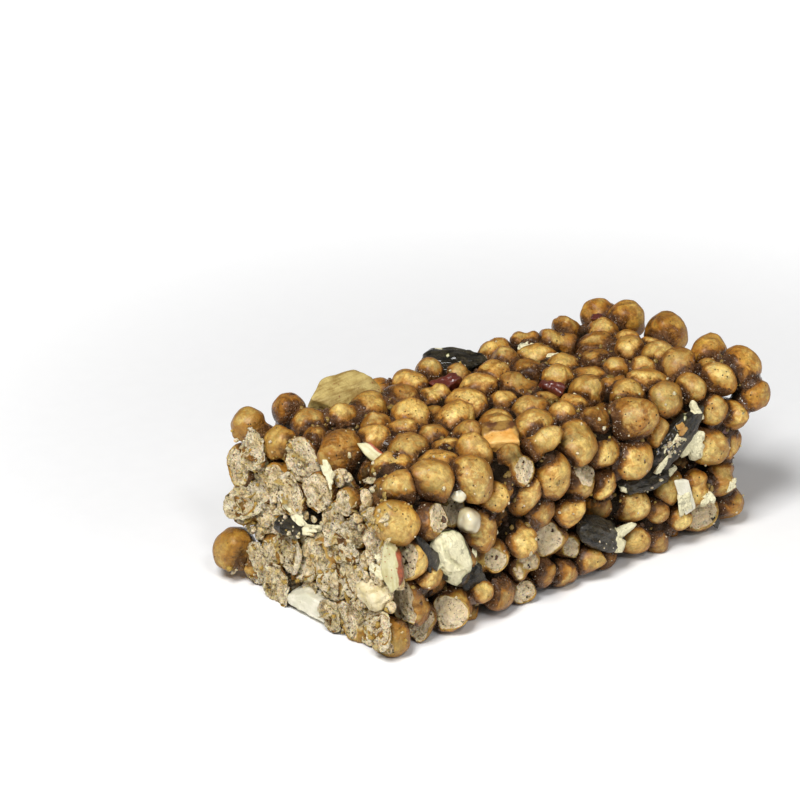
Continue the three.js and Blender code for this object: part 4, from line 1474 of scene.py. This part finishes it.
def nut_material(name, flesh, shade, skin_colour, grain):
    """Cut nut flesh with fine lines, and skin or syrup left on part of it."""
    material, tree, shader, place = start_material(name)
    skin, lay = mark_of(tree, "skin"), mark_of(tree, "lay", "Vector")
    lines = noise(tree, drawn_out(tree, lay, (0.14, 1, 1)), 0.22, 3.0, 0.6)
    patches = noise(tree, place, 1.0, 4.0, 0.6)
    specks = remap(tree, cells(tree, place, 0.62), 0.10, 0.20, 0.9, 0.0)
    specks = times(tree, specks, remap(tree, noise(tree, place, 1.0, 1.0), 0.44, 0.52))
    mixed = plus(tree, times(tree, lines, grain), times(tree, patches, 1 - grain))
    colour = blend(tree, remap(tree, mixed, 0.36, 0.64), paint(*flesh), paint(*shade))
    colour = blend(tree, specks, colour, paint(*skin_colour))
    glaze = blend(tree, remap(tree, patches, 0.4, 0.62), paint(*skin_colour), AMBER)
    wire(tree, shader, {
        "Base Color": blend(tree, skin, colour, glaze),
        "Roughness": 0.55,
        "Coat Weight": 0.2,
        "Coat Roughness": 0.25,
    })
    crumbly = noise(tree, place, 0.22, 3.0, 0.65)
    raise_bump(tree, shader, plus(tree, mixed, crumbly), 0.16)
    return material


def candied_material():
    """Milky, faintly see-through candied fruit, darker towards its rim as seen, painted shade for
    its clearer edge, with amber syrup on one side."""
    material, tree, shader, place = start_material("candied_fruit")
    cloud = noise(tree, place, 1.1, 2.0, 0.5)
    colour = blend(tree, remap(tree, cloud, 0.35, 0.65), paint(210, 202, 174), paint(190, 178, 142))
    # Painted shade: darker towards the rim as seen from the eye.
    clear = remap(tree, rim_of(tree), 0.25, 0.85, 0.0, 0.8)
    colour = blend(tree, clear, colour, paint(138, 116, 78))
    wire(tree, shader, {
        "Base Color": blend(tree, mark_of(tree, "skin"), colour, paint(142, 96, 36)),
        "Roughness": remap(tree, noise(tree, place, 0.5, 2.0), 0.3, 0.7, 0.10, 0.24),
        "Subsurface Weight": 0.6,
        "Subsurface Radius": (1.0, 0.8, 0.5),
        "Subsurface Scale": 1.2 * MM,
        "Coat Weight": 0.8,
        "Coat Roughness": 0.06,
    })
    raise_bump(tree, shader, cloud, 0.10)
    return material


def fruit_material():
    """Sticky dark red dried fruit."""
    material, tree, shader, place = start_material("dried_fruit")
    folds = noise(tree, place, 0.5, 4.0, 0.6, 1.0)
    wire(tree, shader, {
        "Base Color": blend(tree, folds, paint(112, 44, 28), paint(58, 22, 16)),
        "Roughness": 0.32,
        "Coat Weight": 0.5,
        "Coat Roughness": 0.15,
    })
    raise_bump(tree, shader, folds, 0.2)
    return material


# Nut finishes: the colours of flesh, its shade and its skin, and how much its lines show.
NUT_FINISHES = {
    "almond_flesh": ((196, 174, 108), (146, 118, 58), (132, 74, 40), 0.5),
    "pale_almond": ((206, 200, 158), (180, 168, 116), (158, 74, 34), 0.5),
    "toasted_nut": ((222, 180, 102), (208, 148, 62), (150, 112, 48), 0.0),
    "pale_nut": ((228, 214, 176), (196, 180, 132), (150, 122, 70), 0.1),
    "white_kernel": ((234, 228, 208), (212, 208, 182), (176, 164, 124), 0.25),
}


def make_inclusion(piece, material, slot):
    """One seed, nut or fruit piece in its place in the bar."""
    rays, faces = ball_mesh(6 if piece.form == "broken_seed" else 5)
    points, skin = PIECE_FORMS[piece.form](piece, rays)
    placed = points @ piece.basis().T + piece.at
    name = piece.name + "_dressed"
    mesh = write_mesh(name, inside_box(placed) * MM, faces)
    write_marks(mesh, {"skin": skin, "lay": points * MM})
    made = finish_piece(name, mesh, material)
    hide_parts(piece.name)
    return made


def shard(rays, size, seed):
    """A thin torn chip with straight edges, sharp corners and a few bites out of it."""
    rng = np.random.default_rng(seed)
    count = rng.integers(4, 6)
    turns = (np.arange(count) + rng.uniform(-0.3, 0.3, count)) * 2 * math.pi / count
    sides = np.stack([np.cos(turns), np.sin(turns), rng.uniform(-0.4, 0.4, count)], axis=1)
    sides = np.concatenate([sides, [(0, 0, 1), (0, 0, -1)]])
    levels = np.concatenate([rng.uniform(0.72, 0.95, count), (1, 1)])
    points = flat_sided(rays, sides, levels, 0.06)
    around = np.arctan2(points[:, 1], points[:, 0])
    for _ in range(7):
        apart = np.angle(np.exp(1j * (around - rng.uniform(0, 6.3))))
        points[:, :2] *= (1 - rng.uniform(0.12, 0.42) * np.exp(-(apart / 0.17) ** 2))[:, None]
    points *= np.array(size) / 2 * (1.15, 1.15, 1)
    points[:, 2] += rng.uniform(-0.10, 0.10) * points[:, 0] ** 2
    uneven = 0.07 * relief(points + seed, 0.7, 67) + 0.04 * relief(points + seed, 0.3, 68)
    return points + rays * uneven[:, None]


# Bits with a place of their own: kind, middle, way of the length, way it faces, size.
# Each is lodged on what lies behind that place.
LOOSE_BITS = [
    ("kernel", (20.0, -16.8, 14.9), (-0.35, 0, 1), (-0.40, -0.85, 0.25), (4.4, 3.5, 0.9)),
    ("kernel", (20.5, -16.1, 19.4), (0.35, 0, -1), (-0.25, -0.95, 0.15), (2.9, 1.3, 0.6)),
    ("kernel", (14.3, -16.5, 13.3), (1, 0, 0.5), (-0.2, -0.9, -0.2), (2.4, 1.1, 0.6)),
    ("kernel", (15.3, -16.5, 15.6), (1, 0, 0.6), (-0.2, -0.9, 0.2), (1.1, 0.8, 0.35)),
    ("kernel", (16.6, -16.5, 16.5), (0.6, 0, 1), (-0.2, -0.9, 0.2), (1.5, 0.7, 0.35)),
    ("kernel", (7.9, -16.5, 5.6), (1, 0, 0.25), (0, -0.9, 0.45), (2.8, 1.2, 0.5)),
    ("kernel", (6.9, -17.0, 4.2), (1, 0, -0.45), (0, -1, 0.1), (3.1, 1.6, 0.5)),
    ("kernel", (17.8, -16.4, 7.6), (0.25, 0, -1), (-0.2, -0.95, 0), (3.6, 1.6, 0.5)),
    ("kernel", (22.0, -15.3, 6.8), (0.8, 0, 0.6), (-0.2, -0.95, 0.3), (2.0, 1.8, 1.4)),
    ("kernel", (26.4, -16.7, 7.3), (0.2, 0, 1), (0, -1, 0), (1.5, 1.1, 0.7)),
    ("kernel", (13.3, 10.0, 22.8), (1, 0, 0.2), (-0.2, -0.3, 0.9), (2.0, 1.3, 0.5)),
    ("kernel", (14.4, 5.1, 22.9), (0.5, -0.8, 0), (0, -0.4, 0.9), (2.8, 1.3, 0.5)),
    ("kernel", (-23.9, -16.2, 11.0), (0.8, 0, 0.5), (-0.6, -0.8, 0), (2.2, 0.8, 0.5)),
    ("kernel", (-16.9, -15.7, 8.3), (1, 0, 0.15), (-0.2, -0.95, 0.1), (1.9, 1.3, 0.5)),
    ("kernel", (-16.9, -15.4, 10.4), (0.2, 0, 1), (-0.2, -0.95, 0.1), (1.4, 0.6, 0.4)),
    ("kernel", (-13.0, -15.4, 11.8), (0.7, 0, 0.7), (-0.2, -0.95, 0.1), (1.3, 0.9, 0.5)),
    ("kernel", (-31.5, 3.6, 13.3), (0, -1, -0.35), (-0.9, 0, 0.45), (4.4, 1.2, 0.6)),
    ("kernel", (-31.8, 1.8, 11.9), (0, -1, 0.35), (-0.9, 0, 0.3), (3.0, 1.2, 0.5)),
    ("kernel", (-30.9, -1.2, 20.4), (0, -0.35, -0.95), (-0.9, -0.3, 0.3), (3.4, 1.2, 0.6)),
    ("kernel", (-31.9, -13.2, 13.2), (0.2, -0.8, -0.5), (-0.8, -0.6, 0.1), (2.4, 1.4, 0.5)),
    ("kernel", (-32.0, -12.6, 11.4), (0.2, -0.8, -0.4), (-0.8, -0.6, 0.1), (2.6, 1.6, 0.5)),
    ("skin", (25.2, -15.3, 1.8), (0.5, 0, -0.9), (0.1, -0.95, 0.1), (2.2, 1.3, 0.7)),
    ("skin", (-25.2, -15.2, 12.9), (0.3, 0, -0.95), (-0.3, -0.95, 0.1), (4.4, 2.6, 0.9)),
    ("skin", (-16.6, -16.2, 6.3), (0.6, 0, -0.8), (-0.2, -0.95, 0.1), (3.3, 2.6, 1.0)),
    ("nut", (17.7, -16.5, 17.8), (1, 0, 0.3), (-0.2, -0.95, 0.2), (1.6, 1.0, 0.7)),
    ("fruit", (25.8, 10.0, 22.9), (1, 0.2, 0), (0, -0.3, 0.95), (1.8, 1.3, 0.9)),
    ("fruit", (26.8, -15.8, 14.5), (0.5, 0, 0.85), (0, -0.9, 0.35), (1.9, 1.0, 0.5)),
    ("fruit", (-12.0, 12.0, 23.0), (0.7, 0.7, 0), (0, 0, 1), (1.4, 0.9, 0.7)),
]
BIT_SKIN = {"kernel": 0.0, "skin": 1.0, "nut": 0.6, "fruit": 0.0}
BIT_SEED = 4400
BIT_SINK = 0.15         # how far each lies in the surface
BIT_REACH = 1.6         # how far from its own place it may be lodged


def lodged(at, facing, ground):
    """Where a bit rests: its own place, drawn along one axis to the nearest surface."""
    axis = int(np.argmax(np.abs(facing)))
    way = np.zeros(3)
    way[axis] = -math.copysign(1, facing[axis])
    hit = first_hit(ground, outside(at, way), way)
    if hit is None:
        return np.array(at, float)
    rest = hit.at + way * BIT_SINK
    rest[axis] = np.clip(rest[axis], at[axis] - BIT_REACH, at[axis] + BIT_REACH)
    return rest


def make_loose_bits(name, kinds, ground, material):
    """One piece of all the loose bits of some kinds."""
    heap = Heap(4)
    for number, (kind, at, along, facing, size) in enumerate(LOOSE_BITS):
        if kind not in kinds:
            continue
        points = shard(heap.rays, size, BIT_SEED + number)
        basis = Inclusion(kind, kind, 0, at, along, facing, size).basis()
        placed = points @ basis.T + lodged(at, facing, ground)
        heap.add(placed, skin=BIT_SKIN[kind], lay=points * MM)
    return heap.finish(name, material)


crisp_skin = crisp_material()
syrup_finish = syrup_material()
balls = crisps_of_the_bar()
outer = [ball for ball in balls if skin_depth(ball) < SHOWN_DEPTH]
deeper = [ball for ball in balls if SHOWN_DEPTH <= skin_depth(ball) < SECOND_DEPTH]
gaping = [ball for ball in outer if ball.open_way is not None]
at_end = [ball for ball in gaping if ball.open_way[0] < END_FACING]
at_side = [ball for ball in gaping if ball.open_way[0] >= END_FACING]
at_end.sort(key=lambda ball: ball.at[2])
low_end, high_end = at_end[:len(at_end) // 2], at_end[len(at_end) // 2:]
whole = [ball for ball in outer if ball.open_way is None]
whole.sort(key=lambda ball: ball.at[0])
third = math.ceil(len(whole) / 3)
block_pieces = [
    make_crisps("crisps_broken_low", low_end, 5, crisp_skin),
    make_crisps("crisps_broken_high", high_end, 5, crisp_skin),
    make_crisps("crisps_open_side", at_side, 5, crisp_skin),
    make_crisps("crisps_left", whole[:third], 4, crisp_skin),
    make_crisps("crisps_middle", whole[third:2 * third], 4, crisp_skin),
    make_crisps("crisps_right", whole[2 * third:], 4, crisp_skin),
    make_crisps("crisps_deeper", deeper, 3, crisp_skin),
    make_torn_foam(at_end, crisp_skin),
    make_syrup(balls, syrup_finish),
]
for piece in block_pieces:
    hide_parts("crisp_block")

seed_finish = seed_material()
fruit_finish = fruit_material()
nut_finish = {name: nut_material(name, *look) for name, look in NUT_FINISHES.items()}
finishes = {
    "seed": (seed_finish, "seed_skin"),
    "broken_seed": (seed_finish, "seed_kernel"),
    "sliver": (nut_finish["white_kernel"], "seed_kernel"),
    "slice": (nut_finish["almond_flesh"], "pale_nut"),
    "red_sliver": (nut_finish["pale_almond"], "pale_nut"),
    "nut": (nut_finish["toasted_nut"], "toasted_nut"),
    "pale_nut": (nut_finish["pale_nut"], "pale_nut"),
    "white_slab": (nut_finish["white_kernel"], "seed_kernel"),
    "candied": (candied_material(), "candied_fruit"),
    "fruit": (fruit_finish, "dried_fruit"),
}
inclusions = [make_inclusion(piece, *finishes[piece.form]) for piece in INCLUSIONS]
bpy.context.view_layer.update()
rubble = make_rubble(block_pieces, crisp_skin)
make_grit(block_pieces[-1], block_pieces[:-1], syrup_finish)
bpy.context.view_layer.update()
ground = [*block_pieces, *inclusions]
make_loose_bits("kernel_chips", ("kernel", "skin"), ground, seed_finish)
make_loose_bits("nut_bits", ("nut",), ground, nut_finish["toasted_nut"])
make_loose_bits("fruit_bits", ("fruit",), ground, fruit_finish)
make_flakes([*block_pieces, rubble], crisp_skin)
make_crumbs([*block_pieces, rubble, bpy.data.objects["pumpkin_seed_end_dressed"]], crisp_skin)


# ---------------------------------------------------------------- the studio
AIM = np.array([0.25, -1.0, 11.65]) * MM
VIEW_AZIMUTH = math.radians(-40.3)
VIEW_ELEVATION = math.radians(25)
VIEW_DISTANCE = 0.457
LENS = 156.5
LENS_SHIFT = (-0.1255, 0.0875)
# Soft lamps: azimuth and elevation in degrees, distance and size in metres, power in watts.
LAMPS = {
    "key": (-66, 54, 0.45, 0.16, 2.10),
    "front": (-25, 42, 0.50, 0.08, 0.5),
    "fill": (20, 26, 0.55, 0.30, 0.5),
}
WORLD_LIGHT = 0.15
WHITE = (1, 1, 1, 1)


def view_axes():
    """The camera's right, up and backward ways."""
    back = Vector((math.sin(VIEW_AZIMUTH) * math.cos(VIEW_ELEVATION),
                   -math.cos(VIEW_AZIMUTH) * math.cos(VIEW_ELEVATION),
                   math.sin(VIEW_ELEVATION)))
    right = Vector((math.cos(VIEW_AZIMUTH), math.sin(VIEW_AZIMUTH), 0))
    return right, back.cross(right), back


def make_camera():
    """A long lens, a hand's height above the bar, facing its broken corner."""
    right, up, back = view_axes()
    data = bpy.data.cameras.new("camera")
    data.lens = LENS
    data.shift_x, data.shift_y = LENS_SHIFT
    data.clip_start = 0.01
    camera = bpy.data.objects.new("camera", data)
    bpy.context.scene.collection.objects.link(camera)
    turn = Matrix((right, up, back)).transposed().to_4x4()
    camera.matrix_world = Matrix.Translation(Vector(AIM) + back * VIEW_DISTANCE) @ turn
    bpy.context.scene.camera = camera


def make_lamp(name, azimuth, elevation, distance, size, power):
    """A square soft light that faces the bar."""
    a, e = math.radians(azimuth), math.radians(elevation)
    way = Vector((math.sin(a) * math.cos(e), -math.cos(a) * math.cos(e), math.sin(e)))
    data = bpy.data.lights.new(name, "AREA")
    data.size = size
    data.energy = power
    lamp = bpy.data.objects.new(name, data)
    bpy.context.scene.collection.objects.link(lamp)
    lamp.location = Vector(AIM) + way * distance
    lamp.rotation_mode = "QUATERNION"
    lamp.rotation_quaternion = way.to_track_quat("Z", "Y")


def make_studio():
    """A plain pale floor under soft white light, its far part glowing as painted light."""
    shape = bmesh.new()
    bmesh.ops.create_grid(shape, x_segments=1, y_segments=1, size=3.0)
    mesh = bpy.data.meshes.new("floor")
    shape.to_mesh(mesh)
    shape.free()
    floor = bpy.data.objects.new("floor", mesh)
    bpy.context.scene.collection.objects.link(floor)
    material, tree, shader, place = start_material("white_paper")
    grain = noise(tree, place, 1.5, 3.0)
    # Painted light: the floor glows more the farther it lies from the bar, so its far part stays
    # white.
    away = add_node(tree, "ShaderNodeVectorMath", {0: place}, operation="LENGTH").outputs["Value"]
    wire(tree, shader, {
        "Base Color": blend(tree, grain, (0.90, 0.90, 0.90, 1), (0.93, 0.93, 0.93, 1)),
        "Roughness": 0.9,
        "Emission Strength": remap(tree, away, 0.05, 0.22, 0.0, 0.8),
        "Emission Color": WHITE,
    })
    mesh.materials.append(material)
    world = bpy.data.worlds.new("studio")
    world.use_nodes = True
    backdrop = world.node_tree.nodes["Background"]
    wire(world.node_tree, backdrop, {"Color": WHITE, "Strength": WORLD_LIGHT})
    bpy.context.scene.world = world
    for name, settings in LAMPS.items():
        make_lamp(name, *settings)
    bpy.context.scene.view_settings.view_transform = "Standard"


make_camera()
make_studio()
